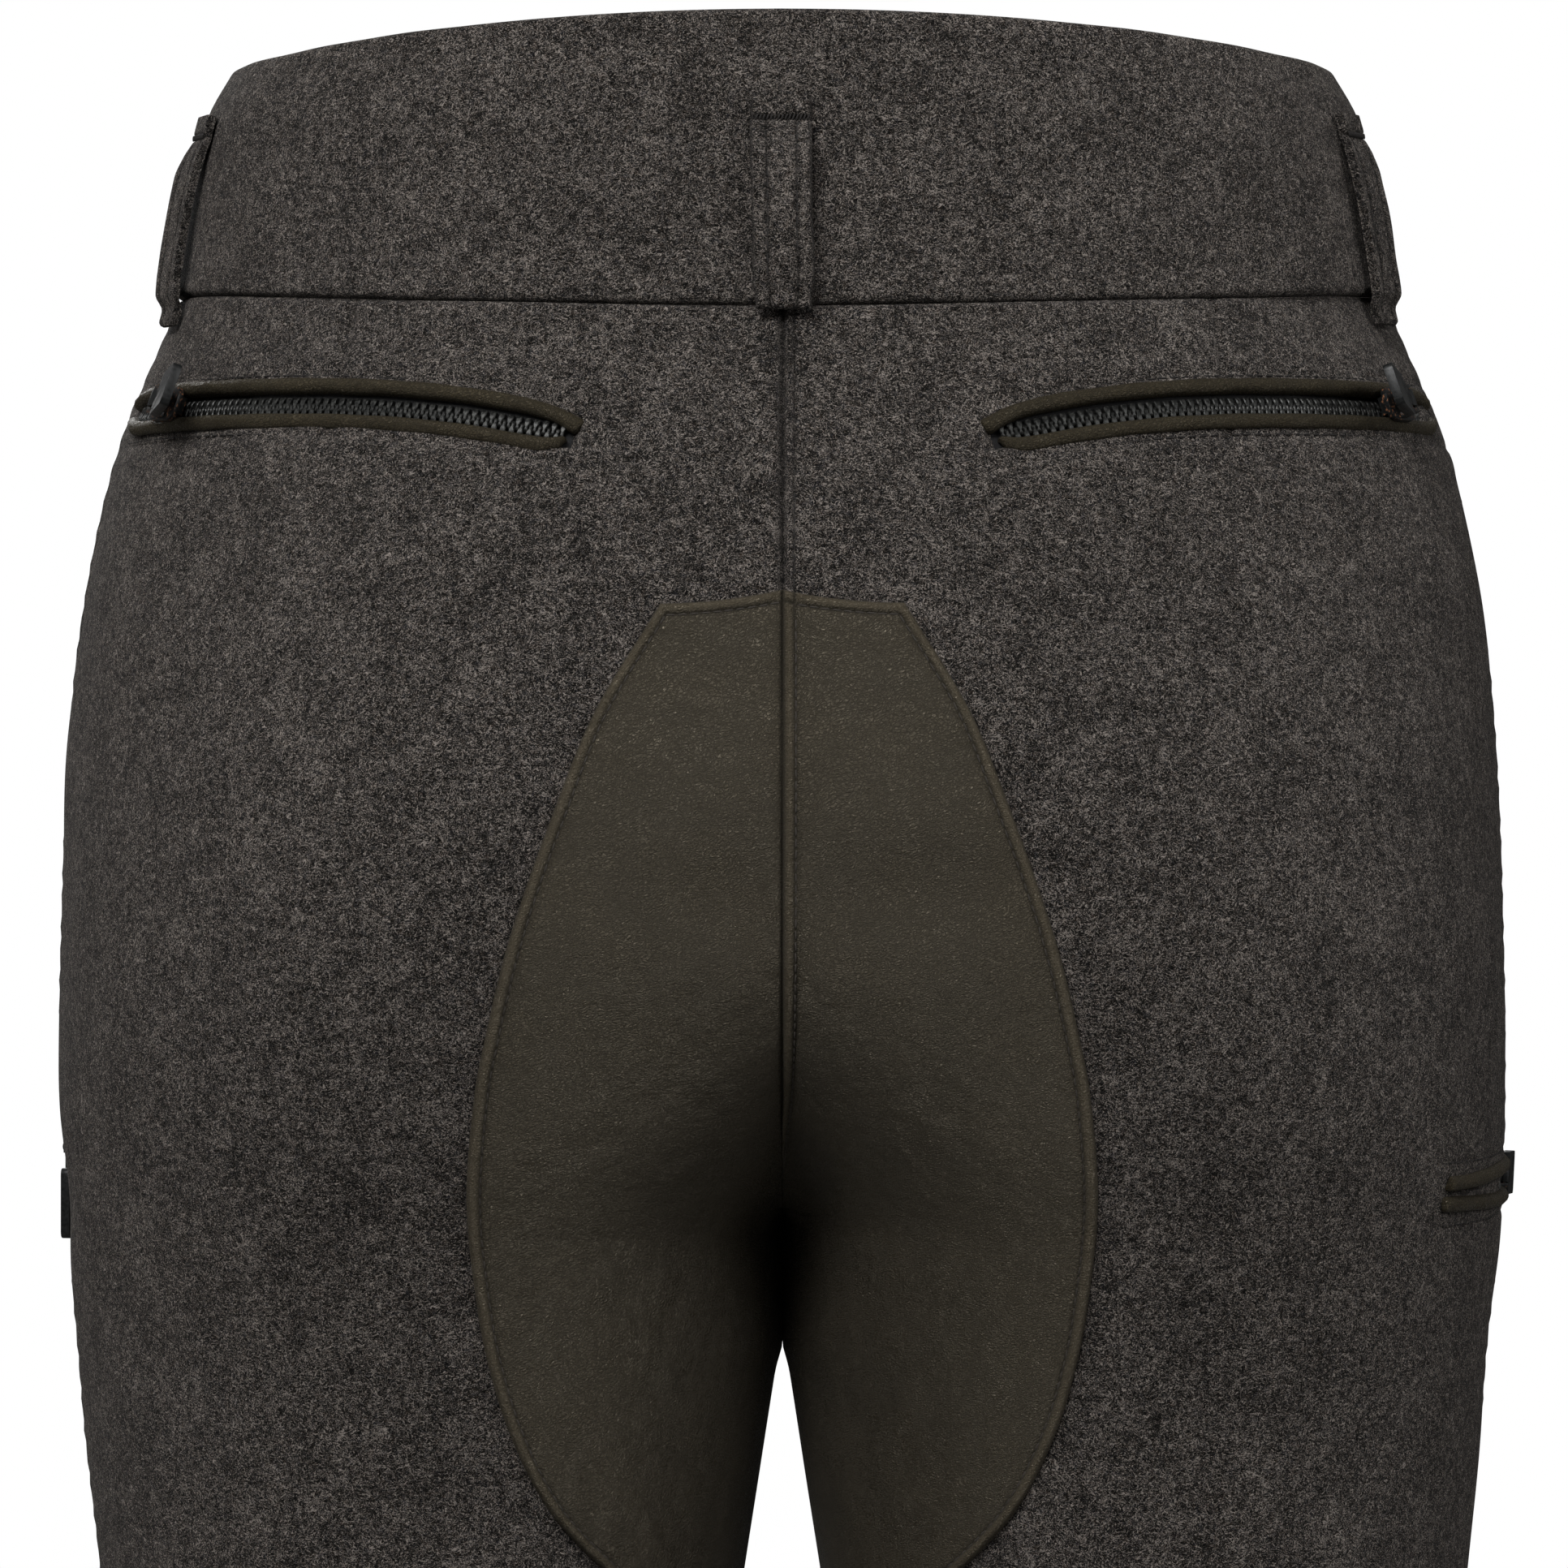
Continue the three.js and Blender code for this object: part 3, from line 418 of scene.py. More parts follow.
def joined_meshes(parts):
    """Many (points, faces) as one."""
    points, faces, start = [], [], 0
    for some, their in parts:
        points.append(some)
        faces.extend([[v + start for v in f] for f in their])
        start += len(some)
    return np.concatenate(points), faces


# Creases: side (+1 left), facing (+1 back), height, distance from the centre plane, tilt in
# degrees from level, length, width, and depth (- in, + out)
CREASES = [
    # under the seat
    (-1, 1, -206.5, 33, 4, 46, 12, -3.0),
    (1, 1, -208.5, 15, 2, 34, 12, -3.0),
    (-1, 1, -187, 32, -4, 44, 11, 1.3),
    (1, 1, -188, 24, 3, 40, 12, 0.7),
    (1, 1, -246, 40, -24, 70, 16, -0.8),
    (-1, 1, -252, 44, 22, 70, 17, -0.9),
    # hips and side
    (1, 1, -118, 132, -14, 60, 12, -0.5),
    (-1, 1, -124, 126, 12, 66, 13, -0.6),
    (-1, 1, -238, 172, 70, 56, 7, -0.7),
    (1, 1, -330, 150, 62, 80, 12, -0.6),
    # front
    (1, -1, -244, 52, 24, 90, 9, -1.5),
    (-1, -1, -252, 46, -26, 84, 9, -1.6),
    (1, -1, -268, 70, 14, 76, 8, -1.2),
    (-1, -1, -230, 66, -16, 70, 8, -1.2),
    (1, -1, -306, 40, 42, 70, 9, -1.5),
    (-1, -1, -312, 44, -38, 74, 9, -1.6),
    # behind and before the knees
    (1, 1, -588, 108, 6, 84, 10, -2.2),
    (1, 1, -622, 96, -7, 96, 9, -2.6),
    (1, 1, -656, 112, 4, 80, 11, -2.0),
    (-1, 1, -596, 98, -8, 92, 10, -2.4),
    (-1, 1, -636, 110, 5, 88, 9, -2.3),
    (-1, 1, -672, 100, -4, 76, 12, -1.9),
    (1, -1, -640, 96, -12, 70, 9, -1.2),
    (-1, -1, -626, 110, 10, 76, 10, -1.3),
    (1, -1, -700, 104, 8, 64, 10, -1.0),
    (-1, -1, -690, 98, -9, 60, 10, -1.0),
    # towards the hems
    (1, 1, -900, 124, 78, 150, 12, -1.2),
    (-1, 1, -930, 104, -80, 160, 13, -1.3),
    (1, -1, -960, 100, -78, 140, 12, -1.2),
    (-1, -1, -940, 124, 76, 150, 11, -1.2),
    (1, -1, -1012, 116, 9, 60, 8, -1.1),
    (-1, -1, -1004, 108, -7, 64, 8, -1.2),
    (1, 1, -830, 96, 18, 80, 13, -1.0),
    (-1, 1, -816, 116, -16, 84, 13, -1.0),
]
# Long slow waves of the cloth: direction and wavelength, and height
WAVES = [
    ((0.9, 0.2, 0.4), 118, 0.40), ((0.2, 0.7, -0.8), 83, 0.32), ((-0.6, 0.5, 0.7), 61, 0.22),
    ((0.1, -0.4, 1.0), 47, 0.12),
]


def crease_relief(points, side, facing):
    """How far the listed creases and slow waves move points on one half's outside."""
    signed = sided(points, side)
    total = np.zeros(points.shape[:-1])
    for crease_side, crease_facing, z, x, tilt, length, width, depth in CREASES:
        if crease_side != side or crease_facing != facing:
            continue
        centre = place(z, facing * turn_at(z, x))
        up = outward(centre)
        level = unit(np.cross((0, 0, 1), up)) * (1 if facing < 0 else -1)
        rise = unit(np.cross(up, level)) * (1 if np.cross(up, level)[2] > 0 else -1)
        run = level * math.cos(math.radians(tilt)) + rise * math.sin(math.radians(tilt))
        off = points - centre
        lengthways = off @ run
        crossways = off @ np.cross(up, run)
        near = np.abs(off @ up) < 60
        bend = 0.0016 * lengthways ** 2 / (length / 60)
        total += near * depth * hump(crossways - bend, width) * hump(lengthways, length * 0.55)
    for direction, wavelength, height in WAVES:
        way = np.array(direction) / np.linalg.norm(direction)
        total += height * np.sin(signed @ way * 2 * math.pi / wavelength + wavelength)
    return total


SLOT_HALF = 3.2
SLOT_UP = 0.4
PULL_PRESS = 3.2  # how far the left leg's hanging pull presses the cloth in
SLOT_FLOOR = -2.9
BACK_SLOT = (49.8, 158.6)
TOPSTITCH = 7.8


def pocket_relief(z, turn, side, points):
    """Zip slots sunk in the cloth, and the soft groove of the stitching round them."""
    total = np.zeros(points.shape[:-1])
    x = points[..., 0]
    across = z - along(BACK_ZIP, "z", x, "x")
    within = fade(x, BACK_SLOT[0] - 1.4, BACK_SLOT[0]) * fade(x, BACK_SLOT[1] + 1.2, BACK_SLOT[1])
    around = fade(x, 43, 46) * fade(turn, 0.0, 0.06)
    slot = within * fade(np.abs(across - SLOT_UP), SLOT_HALF + 1.3, SLOT_HALF) * (turn > 0)
    total += SLOT_FLOOR * slot
    total -= 0.4 * around * hump(np.abs(across) - TOPSTITCH, 0.9) * (turn > 0)
    total += 0.35 * around * hump(np.abs(across) - 11.5, 3.0) * (turn > 0)
    pocket = THIGH["left" if side > 0 else "right"]
    degrees = np.degrees(turn)
    across = z - (pocket["z"] - THIGH_DROP * fade(degrees, 0, 36))
    front_end, rear_end = pocket["to"], pocket["from"]
    within = fade(degrees, front_end + 1.4, front_end + 2)
    within = within * fade(degrees, pocket["opens"] + 0.6, pocket["opens"])
    around = fade(degrees, front_end - 3, front_end) * fade(degrees, rear_end + 3, rear_end)
    total += SLOT_FLOOR * within * fade(np.abs(across - SLOT_UP), SLOT_HALF + 1.3, SLOT_HALF)
    total -= 0.4 * around * hump(np.abs(across) - TOPSTITCH, 0.9)
    if side > 0:
        total -= PULL_PRESS * hump(z + 281, 18) * hump(degrees + 3, 22)
    return total


# Back darts: side, and the dart's x at its top and point, with their heights
DARTS = {1: ((105, -60), (114, -118)), -1: ((105.5, -60), (112, -119))}


def dart_relief(z, x, side, facing):
    (top_x, top_z), (tip_x, tip_z) = DARTS[side]
    if facing < 0:
        return np.zeros(np.shape(z))
    down = np.clip((z - top_z) / (tip_z - top_z), 0, 1)
    line = top_x + (tip_x - top_x) * down
    depth = 0.9 * (1 - down) ** 0.6 * fade(z, tip_z - 3, tip_z + 3)
    return -depth * hump(x - line, 1.1) + 0.35 * depth * hump(np.abs(x - line) - 4.5, 3)


# Panels
CENTRE_STITCH = 2.7
# Where a seam's two sides end: the first crosses the seam's plane by a hair, so that no light shows through
SEAM_GAP = {1: -0.05, -1: 0.02}
SEAM_ALLOWANCE = 1.6


def back_or_front(facing):
    return "back" if facing > 0 else "front"


def row_levels():
    """Heights of a panel's rows, close together where pockets, seams and the hem need it."""
    top = FOOT_SIDE
    depth = spread(top - HEM, 7.5, [
        (0, 2.5, 0.7), (33, 14, 0.85), (170, 172, 2.7), (top + 273, 9, 0.85), (top + 280, 9, 0.85),
        (top + 1030, 3, 0.9), (top - HEM, 2.5, 0.4),
    ])
    return top - depth


def column_shares(facing):
    whole = girth(-120.0, facing)[1][0, -1]
    dense = [(0, 1.5, 0.5), (whole, 4.0, 0.36)]
    if facing > 0:
        turns, run = girth(-90.0, facing)
        for x, half, close in ((47.5, 4, 1.0), (108, 7, 1.1), (159, 3, 1.0)):
            dense.append((float(np.interp(turn_at(-90.0, x), turns[0], run[0])), half, close))
    return spread(whole, 2.9, dense) / whole


def panel_grids(side, facing):
    """The two faces of one leg panel, on the wearer's left."""
    levels, shares = row_levels(), column_shares(facing)
    free = turns_of_shares(levels, facing, shares)
    foot = band_foot(facing * free) - AIR
    down = np.clip((FOOT_SIDE - levels) / (FOOT_SIDE + 74), 0, 1)[:, None]
    z = np.where(down < 1, foot + down * (-74 - foot), levels[:, None])
    last = turn_at(z[:, -1], AIR / 2)
    free = free * np.where(levels > -74, last / free[:, -1], 1)[:, None]
    turn = facing * np.minimum(free, turn_at(z, AIR / 2))
    points = place(z, turn)
    steps = np.linalg.norm(np.diff(points, axis=1), axis=2)
    from_side = np.concatenate([np.zeros((len(levels), 1)), np.cumsum(steps, axis=1)], axis=1)
    from_centre = from_side[:, -1:] - from_side
    relief = crease_relief(points, side, facing) * fade(from_centre, 0, 9) * fade(from_side, 0, 9)
    relief += pocket_relief(z, turn, side, points) + dart_relief(z, points[..., 0], side, facing)
    seam = -1.1 * hump(from_side, 0.8) - 1.5 * hump(from_centre, 0.8)
    pucker = 0.16 * np.sin(z * 2 * math.pi / 7.3 + 2 * np.sin(z / 31))
    # Painted shade along the side and centre seams and beside the darts, kept as a mask for the cloth's finish
    push_and_painted_shade = 0.8 * hump(from_side, 0.7) + hump(from_centre, 0.55) * fade(z, CROTCH - 20, CROTCH)
    push_and_painted_shade += 0.45 * hump(np.abs(dart_relief(z, points[..., 0], side, facing)) - 0.9, 0.5)
    relief += seam + pucker * (hump(from_side - 3, 3) + hump(from_centre - 3, 3))
    relief += 0.45 * (hump(from_centre - 2.0, 1.2) + hump(from_side - 2.2, 1.4))
    if side < 0 and facing > 0:
        row = hump(from_centre - CENTRE_STITCH, 0.4) * fade(z, -150, -140)
        relief -= 0.7 * row
        # The centre back stitch row is also darkened with painted shade
        push_and_painted_shade += 0.6 * row
    if facing < 0:
        relief -= 0.35 * hump(z + 1030, 1.2)
    relief -= 0.3 * hump(z + 1030, 1.2) * (facing > 0)
    rise = HEM + 1.7 - levels
    pinch = 1.7 * (1 - np.sqrt(1 - np.clip(rise / 1.7, 0, 1) ** 2))[:, None]
    top = 0.9 * hump(levels - FOOT_SIDE, 0.9)[:, None]
    thick = LODEN + (HEM_LODEN - LODEN) * fade(levels, HEM + HEM_TURN + 1.2, HEM + HEM_TURN - 1.2)[:, None]
    thick = thick + SEAM_ALLOWANCE * (hump(from_side, 1.6) + hump(from_centre, 1.6))
    up = outward(points)
    over = points + up * (relief - pinch - top)[..., None]
    under = points + up * (np.minimum(relief, 0.4) - thick + pinch)[..., None]
    for grid in (over, under):
        grid[:, 0, 1] = facing * SEAM_GAP[facing]
        grid[..., 0] = np.maximum(grid[..., 0], SEAM_GAP[side])
        grid[levels > CROTCH, -1, 0] = SEAM_GAP[side]
        grid[levels <= CROTCH, -1, 1] = facing * SEAM_GAP[facing]
    return sided(over, side), sided(under, side), np.clip(push_and_painted_shade, 0, 1)


def on_form(z, run, side, facing, lift=0.0):
    """Points and directions at a girth from the side seam, on the creased cloth."""
    turns, runs = girth(z, facing)
    turn = np.array([np.interp(r, rr, tt) for r, rr, tt in zip(run, runs, turns)]) * facing
    points = place(z, turn)
    up = outward(points)
    raised = points + up * (crease_relief(points, side, facing) + lift)[..., None]
    return sided(raised, side), sided(up, side)


def make_panels():
    for side, word in ((1, "left"), (-1, "right")):
        for facing in (1, -1):
            node = f"{back_or_front(facing)}_{word}"
            over, under, push_and_painted_shade = panel_grids(side, facing)
            points, faces = wall(over, under)
            piece = sewn_piece(f"loden_{node}", points, faces, "loden")
            # Keeps the painted seam shade on the cloth
            mark(piece, push_and_painted_shade)
            hand_over(piece, "loden", node)


# Waistband
BAND_DENTS = [
    # turn round the waist in degrees, height, tilt, length, width, depth
    (84, -47, 8, 26, 5, -0.8), (98, -46, -10, 24, 5, -0.7), (62, -30, 24, 40, 8, -0.5),
    (120, -34, -18, 44, 9, -0.5), (40, -20, -12, 40, 9, 0.4), (143, -22, 10, 46, 9, 0.35),
    (75, -12, 4, 50, 8, 0.35), (-70, -38, 10, 34, 8, -0.6), (-115, -30, -14, 40, 9, -0.6),
    (-30, -28, 8, 40, 9, -0.5), (205, -34, -8, 40, 9, -0.5),
]


def band_turn(angle):
    """Which half an angle round the waist is on, and its turn from that half's side seam."""
    whole = np.mod(angle, 360)
    left = (whole <= 90) | (whole >= 270)
    signed = np.radians(np.where(whole > 180, whole - 360, whole))
    return np.where(left, 1, -1), np.where(left, signed, np.sign(signed) * (math.pi - np.abs(signed)))


def band_section(roll=2.0):
    """A band's cross-section, from outer foot over the top to inner foot: share of height, rise, out."""
    out = BAND_PROUD
    rows = [(0, 0.0, -0.5), (0, 0.35, 0.45), (0, 0.9, 0.95), (0, 1.7, 1.15), (0, 3.0, out)]
    rows += [(share, 0, out) for share in np.linspace(0.08, 0.94, 22)]
    for degrees in range(0, 181, 20):
        a = math.radians(degrees)
        rows.append((1, -roll + roll * math.sin(a), out - roll + roll * math.cos(a)))
    rows += [(share, 0, out - BAND) for share in np.linspace(0.92, 0.08, 12)]
    rows += [(0, 0.5, out - BAND + 0.1), (0, 0.0, out - BAND + 0.6)]
    return np.array(rows)


def make_waistband():
    lean = (OVERLAP_HALF / FRONT_HALF_WIDTH) ** (1 / TURN_POWER)
    underlap = math.degrees(math.acos(lean))
    begin, end = 180 + underlap, 720 - underlap
    angle = begin + spread(end - begin, 1.0, [(0, 1.2, 0.2), (end - begin, 1.2, 0.2)])
    section_rows = band_section()
    lift = OVERLAP_LIFT * fade(angle, begin + 346, begin + 358)
    half, turn = band_turn(angle)
    foot, top = band_foot(np.radians(angle)), band_top(np.radians(angle))
    share, rise, out = section_rows.T
    z = foot[:, None] + share * (top - foot)[:, None] + rise
    base = place(z, np.broadcast_to(turn[:, None], z.shape))
    up = outward(base)
    facing_out = fade(out, -0.5, 0.5)
    waves = 0.22 * np.sin(np.radians(angle)[:, None] * 9 + z / 17)
    waves = waves + 0.16 * np.sin(np.radians(angle)[:, None] * 23 + z / 9)
    relief = np.broadcast_to(waves, z.shape).copy()
    for around, height, tilt, length, width, depth in BAND_DENTS:
        wide = (np.mod(angle - around + 180, 360) - 180) * math.radians(1) * 130
        level, rising = math.cos(math.radians(tilt)), math.sin(math.radians(tilt))
        lengthways = wide[:, None] * level + (z - height) * rising
        crossways = -wide[:, None] * rising + (z - height) * level
        relief += depth * hump(lengthways, length / 2) * hump(crossways, width)
    ends = np.minimum(angle - begin, end - angle)[:, None] * 2.4
    pinch = (BAND / 2 - 0.2) * (1 - np.sqrt(1 - (1 - np.clip(ends / 1.8, 0, 1)) ** 2))
    inward = out - (BAND_PROUD - BAND / 2)
    squeezed = out - np.sign(inward) * np.minimum(np.abs(inward), pinch)
    points = base + up * (squeezed + lift[:, None] + relief * facing_out * (share > 0))[..., None]
    points[..., 0] *= half[:, None]
    points, faces = tube(points)
    hand_over(sewn_piece("loden_waistband", points, faces, "loden"), "loden", "waistband")


# Belt loops
LOOP_STITCH = 3.6
BAR_TACK = 18.6  # how far down each loop's bar tack is


def loop_frames(degrees, bulge, twist, low):
    """The middle line of a belt loop's inside, its directions out and across, and how far its edges turn."""
    turn = math.radians(degrees)
    z = -spread(52.2, 0.9, [(4.2, 1.2, 0.35), (0, 0.8, 0.3), (51, 2, 0.5)]) - 13.6
    shift = 0 if low else band_foot(turn) - FOOT_SIDE - FOOT_BACK
    stands = along(LOOP_LINE, "off", z) - LOOP_LEAST
    off = LOOP_LEAST + stands * bulge * fade(z, -13.0, -14.0)
    off = off - (LOOP_TURNED_IN["by"] * fade(z, LOOP_TURNED_IN["from"], LOOP_TURNED_IN["to"]) if low else 0)
    turned = twist * np.clip(stands / LOOP_TWIST_FULL, 0, 1) / (LOOP_WIDTH / 2)
    z_at = z + shift * fade(z, -30, -60)
    base = place(z_at, turn)
    up = outward(base)
    across = unit(np.cross((0, 0, 1), outward(place(-40.0, turn))))
    return z, base + up * (BAND_PROUD + off)[:, None], up, across, turned


def make_belt_loops():
    for number, (node, degrees, side, bulge, twist, low) in enumerate(LOOPS):
        z, inside, up, across, turned = loop_frames(degrees, bulge, twist, low)
        edge = np.array([0, 0.25, 0.7, 1.4, 2.4, 3.4, 3.9, 4.4, 5.4, 6.4, 7.5]) / 7.5
        a = np.concatenate([-1 + edge, (1 - edge)[::-1][1:]]) * LOOP_WIDTH / 2
        near_edge = LOOP_WIDTH / 2 - np.abs(a)
        crown = 1 - 0.55 * hump(near_edge, 0.45)
        groove = 0.42 * hump(np.abs(a) - LOOP_STITCH, 0.5)
        fold = fade(z, -19.2, -17.6)
        thick = LOOP * crown * (1 + 0.12 * fold[:, None]) - groove * (1 - fold[:, None])
        thick -= 0.75 * hump(z + BAR_TACK, 0.7)[:, None]
        thick += 0.12 * np.sin(z[:, None] / 3.1 + number) * np.sin(a / 2.7 + number * 2)
        narrow = 1 - 0.09 * fade(z, -60, -63)[:, None] + 0.012 * np.sin(z / 5.3 + number)[:, None]
        sway = 0.35 * np.sin(z / 14 + number * 1.7)
        tuck = 0.7 * (1 - np.sqrt(1 - np.clip((-64.6 - z) / 1.2, 0, 1) ** 2))
        place_at = inside[:, None] + across * (a * narrow + sway[:, None])[..., None]
        place_at = place_at - up[:, None] * (turned[:, None] * a)[..., None]
        over = place_at + up[:, None] * (np.maximum(thick, 0.4) - tuck[:, None])[..., None]
        under = place_at + up[:, None] * (0.25 * hump(near_edge, 0.5) + tuck[:, None] * 0.5)[..., None]
        points, faces = wall(sided(over, side), sided(under, side))
        piece = sewn_piece(f"loden_{node}", points, faces, "loden")
        # Painted shade along the loop's stitch rows and edges and on its bar tack
        marks = 0.95 * hump(np.abs(a) - LOOP_STITCH, 0.5) * (1 - fold[:, None]) + 0.8 * hump(near_edge, 0.6)
        mark(piece, np.maximum(marks, 0.9 * hump(z + BAR_TACK, 0.6)[:, None]))
        hand_over(piece, "loden", node)


# Leather seat
EDGE_FOLD = np.array([
    (0, 0.35), (0.25, 1.35), (0.6, 2.0), (1.2, 2.35), (2.0, 2.3), (2.5, 2.0), (2.85, 1.45), (3.15, 1.35),
    (3.6, 1.6), (4.5, 1.72), (6.5, 1.7),
])
CENTRE_FOLDS = {
    1: np.array([(0, 0.4), (0.3, 1.1), (0.8, 1.5), (1.6, 1.65), (2.6, 1.7), (4, 1.7), (6, 1.7)]),
    -1: np.array([
        (0, 0.3), (0.25, 1.4), (0.7, 2.25), (1.4, 2.65), (2.1, 2.45), (2.6, 2.0), (2.9, 1.4), (3.25, 1.38),
        (3.7, 1.6), (4.6, 1.72), (6.5, 1.7),
    ]),
}
ROLL_ENDS = (-262, -276)
SEAT_STITCH = 3.0
SEAT_LIES = 1.7  # how far out the plain leather lies
PRESS = 1.0  # how far the two halves push together below the crotch


def seat_edge(levels):
    """For each level: girths of the seat's outer edge and of the centre, and the edge's slope."""
    turns, run = girth(levels, 1)
    start = turn_at(levels, along(SEAT, "reach", levels))
    edge = np.array([np.interp(t, tt, rr) for t, tt, rr in zip(start, turns, run)])
    return edge, run[:, -1], turns, run


def seat_grids(side):
    top, bottom = SEAT["z"][0], SEAT["z"][-1]
    depth = spread(top - bottom, 1.7, [(0, 4.5, 0.32), (top - bottom, 4, 0.35)])
    levels = top - depth
    edge, last, turns, run = seat_edge(levels)
    slope = np.gradient(edge, levels)
    lean = 1 / np.sqrt(1 + np.minimum(np.abs(slope), 1.2) ** 2)
    near, far = EDGE_FOLD[:, 0], CENTRE_FOLDS[side][:, 0]
    middle = np.linspace(0, 1, 44)[1:-1]
    width = last - edge
    outer = near[None] / lean[:, None]
    inner = width[:, None] - far[None, ::-1]
    between = outer[:, -1:] + (inner[:, :1] - outer[:, -1:]) * middle[None]
    s = np.concatenate([outer, between, inner], axis=1)
    turn = np.stack([np.interp(e + r, rr, tt) for e, r, rr, tt in zip(edge, s, run, turns)])
    share = s / width[:, None]
    rise = SEAT_ARCH * share ** 2 * fade(levels, -164, top)[:, None]
    z = levels[:, None] + rise
    turn = turn + (turn_at(z[:, -1], AIR / 2) - turn[:, -1])[:, None] * share ** 3
    points = place(z, turn)
    up = outward(points)
    from_centre = width[:, None] - s
    from_side = s * lean[:, None]
    from_top = (top - levels)[:, None] + 0 * s
    from_bottom = (levels - bottom)[:, None] + 0 * s
    from_edge = np.minimum(from_side, np.minimum(from_top, from_bottom))
    height = np.interp(from_edge, EDGE_FOLD[:, 0], EDGE_FOLD[:, 1])
    fold = CENTRE_FOLDS[side]
    rolled = np.interp(from_centre, fold[:, 0], fold[:, 1])
    plain = CENTRE_FOLDS[1]
    seam = np.interp(from_centre, plain[:, 0], plain[:, 1])
    stays = fade(levels, *ROLL_ENDS[::-1])[:, None]
    centre = rolled * stays + seam * (1 - stays)
    near_centre = fade(from_centre, 6, 5)
    height = np.minimum(height, np.where(centre < SEAT_LIES, centre, 9))
    height = height + (np.maximum(centre, SEAT_LIES) - SEAT_LIES) * near_centre * fade(from_top, 0, 1.2)
    along_edge = np.cumsum(np.hypot(np.gradient(levels), np.gradient(edge)))[:, None]
    height += 0.10 * np.sin(along_edge * 2 * math.pi / SEAT_PITCH) * hump(from_side - 2.4, 1.1)
    height += 0.14 * np.sin(along_edge / 4.7 + 2 * np.sin(along_edge / 17)) * hump(from_side - 1.3, 1.0)
    relief = crease_relief(points, side, 1) * fade(from_centre, 0, 9)
    # How far the two halves push together below the crotch; this moves the leather and paints no shade
    push_and_painted_shade = PRESS * fade(levels, -330, -318) * fade(levels, -276, -286)
    relief += push_and_painted_shade[:, None] * hump(from_centre, 9)
    over = points + up * (relief + height)[..., None]
    under = points + up * (relief + 0.12)[..., None]
    for grid in (over, under):
        grid[..., 0] = np.maximum(grid[..., 0], SEAM_GAP[side])
        grid[levels > CROTCH, -1, 0] = SEAM_GAP[side]
    # Painted shade in the stitch groove round the edges, along the centre roll's stitching and down the centre
    # seam
    painted_groove_shade = hump(from_edge - 3.05, 0.42)
    if side < 0:
        painted_groove_shade = np.maximum(painted_groove_shade, hump(from_centre - 3.1, 0.4) * stays)
    painted_groove_shade = np.maximum(painted_groove_shade, hump(from_centre, 0.45))
    # Lighter along the crests of the rolled edges and of the centre roll
    lighter_crests = hump(from_edge - 1.35, 1.1)
    if side < 0:
        lighter_crests = np.maximum(lighter_crests, hump(from_centre - 1.5, 1.0) * stays)
    return sided(over, side), sided(under, side), painted_groove_shade, lighter_crests


def make_leather_seat():
    for side, word in ((1, "left"), (-1, "right")):
        over, under, painted_groove_shade, lighter_crests = seat_grids(side)
        points, faces = wall(over, under)
        piece = sewn_piece(f"leather_seat_{word}", points, faces, "leather")
        # Keeps the painted groove shade and the lighter roll crests on the leather
        mark(piece, painted_groove_shade)
        mark(piece, lighter_crests, "lighter_crests")
        hand_over(piece, "leather", f"seat_patch_{word}")


# Lines on the cloth
class Line:
    """A line on the cloth, read at a distance along it: places, and directions up, ahead and across."""

    def __init__(self, z, turn, side):
        points = place(z, turn)
        self.run = np.concatenate([[0], np.cumsum(np.linalg.norm(np.diff(points, axis=0), axis=1))])
        self.length = self.run[-1]
        self.points, self.up, self.side = points, outward(points), side
        ahead = np.gradient(points, axis=0)
        ahead -= self.up * (ahead * self.up).sum(1, keepdims=True)
        self.ahead = unit(ahead)
        across = np.cross(self.up, self.ahead)
        self.across = across * np.where(across[:, 2:] < 0, -1, 1)
        self.turn = turn

    def read(self, values, at):
        return np.stack([np.interp(at, self.run, values[:, k]) for k in range(3)], -1)

    def at(self, s):
        s = np.asarray(s, float)
        beyond = np.where(s < 0, s, np.where(s > self.length, s - self.length, 0))
        ahead = unit(self.read(self.ahead, s))
        return (
            self.read(self.points, s) + ahead * beyond[..., None], unit(self.read(self.up, s)), ahead,
            unit(self.read(self.across, s)),
        )

    def spot(self, s, across, lift):
        """Places set out from the line, mirrored to the side that it is on."""
        p, up, _, over = self.at(s)
        return sided(p + over * np.asarray(across)[..., None] + up * np.asarray(lift)[..., None], self.side)

    def find(self, turn):
        return float(np.interp(turn, *zip(*sorted(zip(self.turn, self.run)))))


def back_line(side, count=400):
    turn = np.linspace(turn_at(-88.0, BACK_ZIP["x"][0]), turn_at(-84.0, BACK_ZIP["x"][-1]), count)
    z = np.full(count, -86.0)
    for _ in range(6):
        z = along(BACK_ZIP, "z", place(z, turn)[:, 0], "x")
    return Line(z, turn, side)


def thigh_line(word, count=400):
    pocket = THIGH[word]
    degrees = np.linspace(pocket["from"], pocket["to"], count)
    z = pocket["z"] - THIGH_DROP * fade(degrees, 0, 36)
    return Line(z, np.radians(degrees), 1 if word == "left" else -1)


def pocket_lines():
    """Each pocket's name, line, and the stretch of it that opens."""
    rows = []
    for word, side in (("left", 1), ("right", -1)):
        line = back_line(side)
        rows.append((f"back_{word}", line, 3.2, line.length - 1.6))
        line = thigh_line(word)
        pocket = THIGH[word]
        opens = line.find(math.radians(pocket["opens"]))
        rows.append((f"thigh_{word}", line, opens, line.find(math.radians(pocket["to"] + 2))))
    return rows


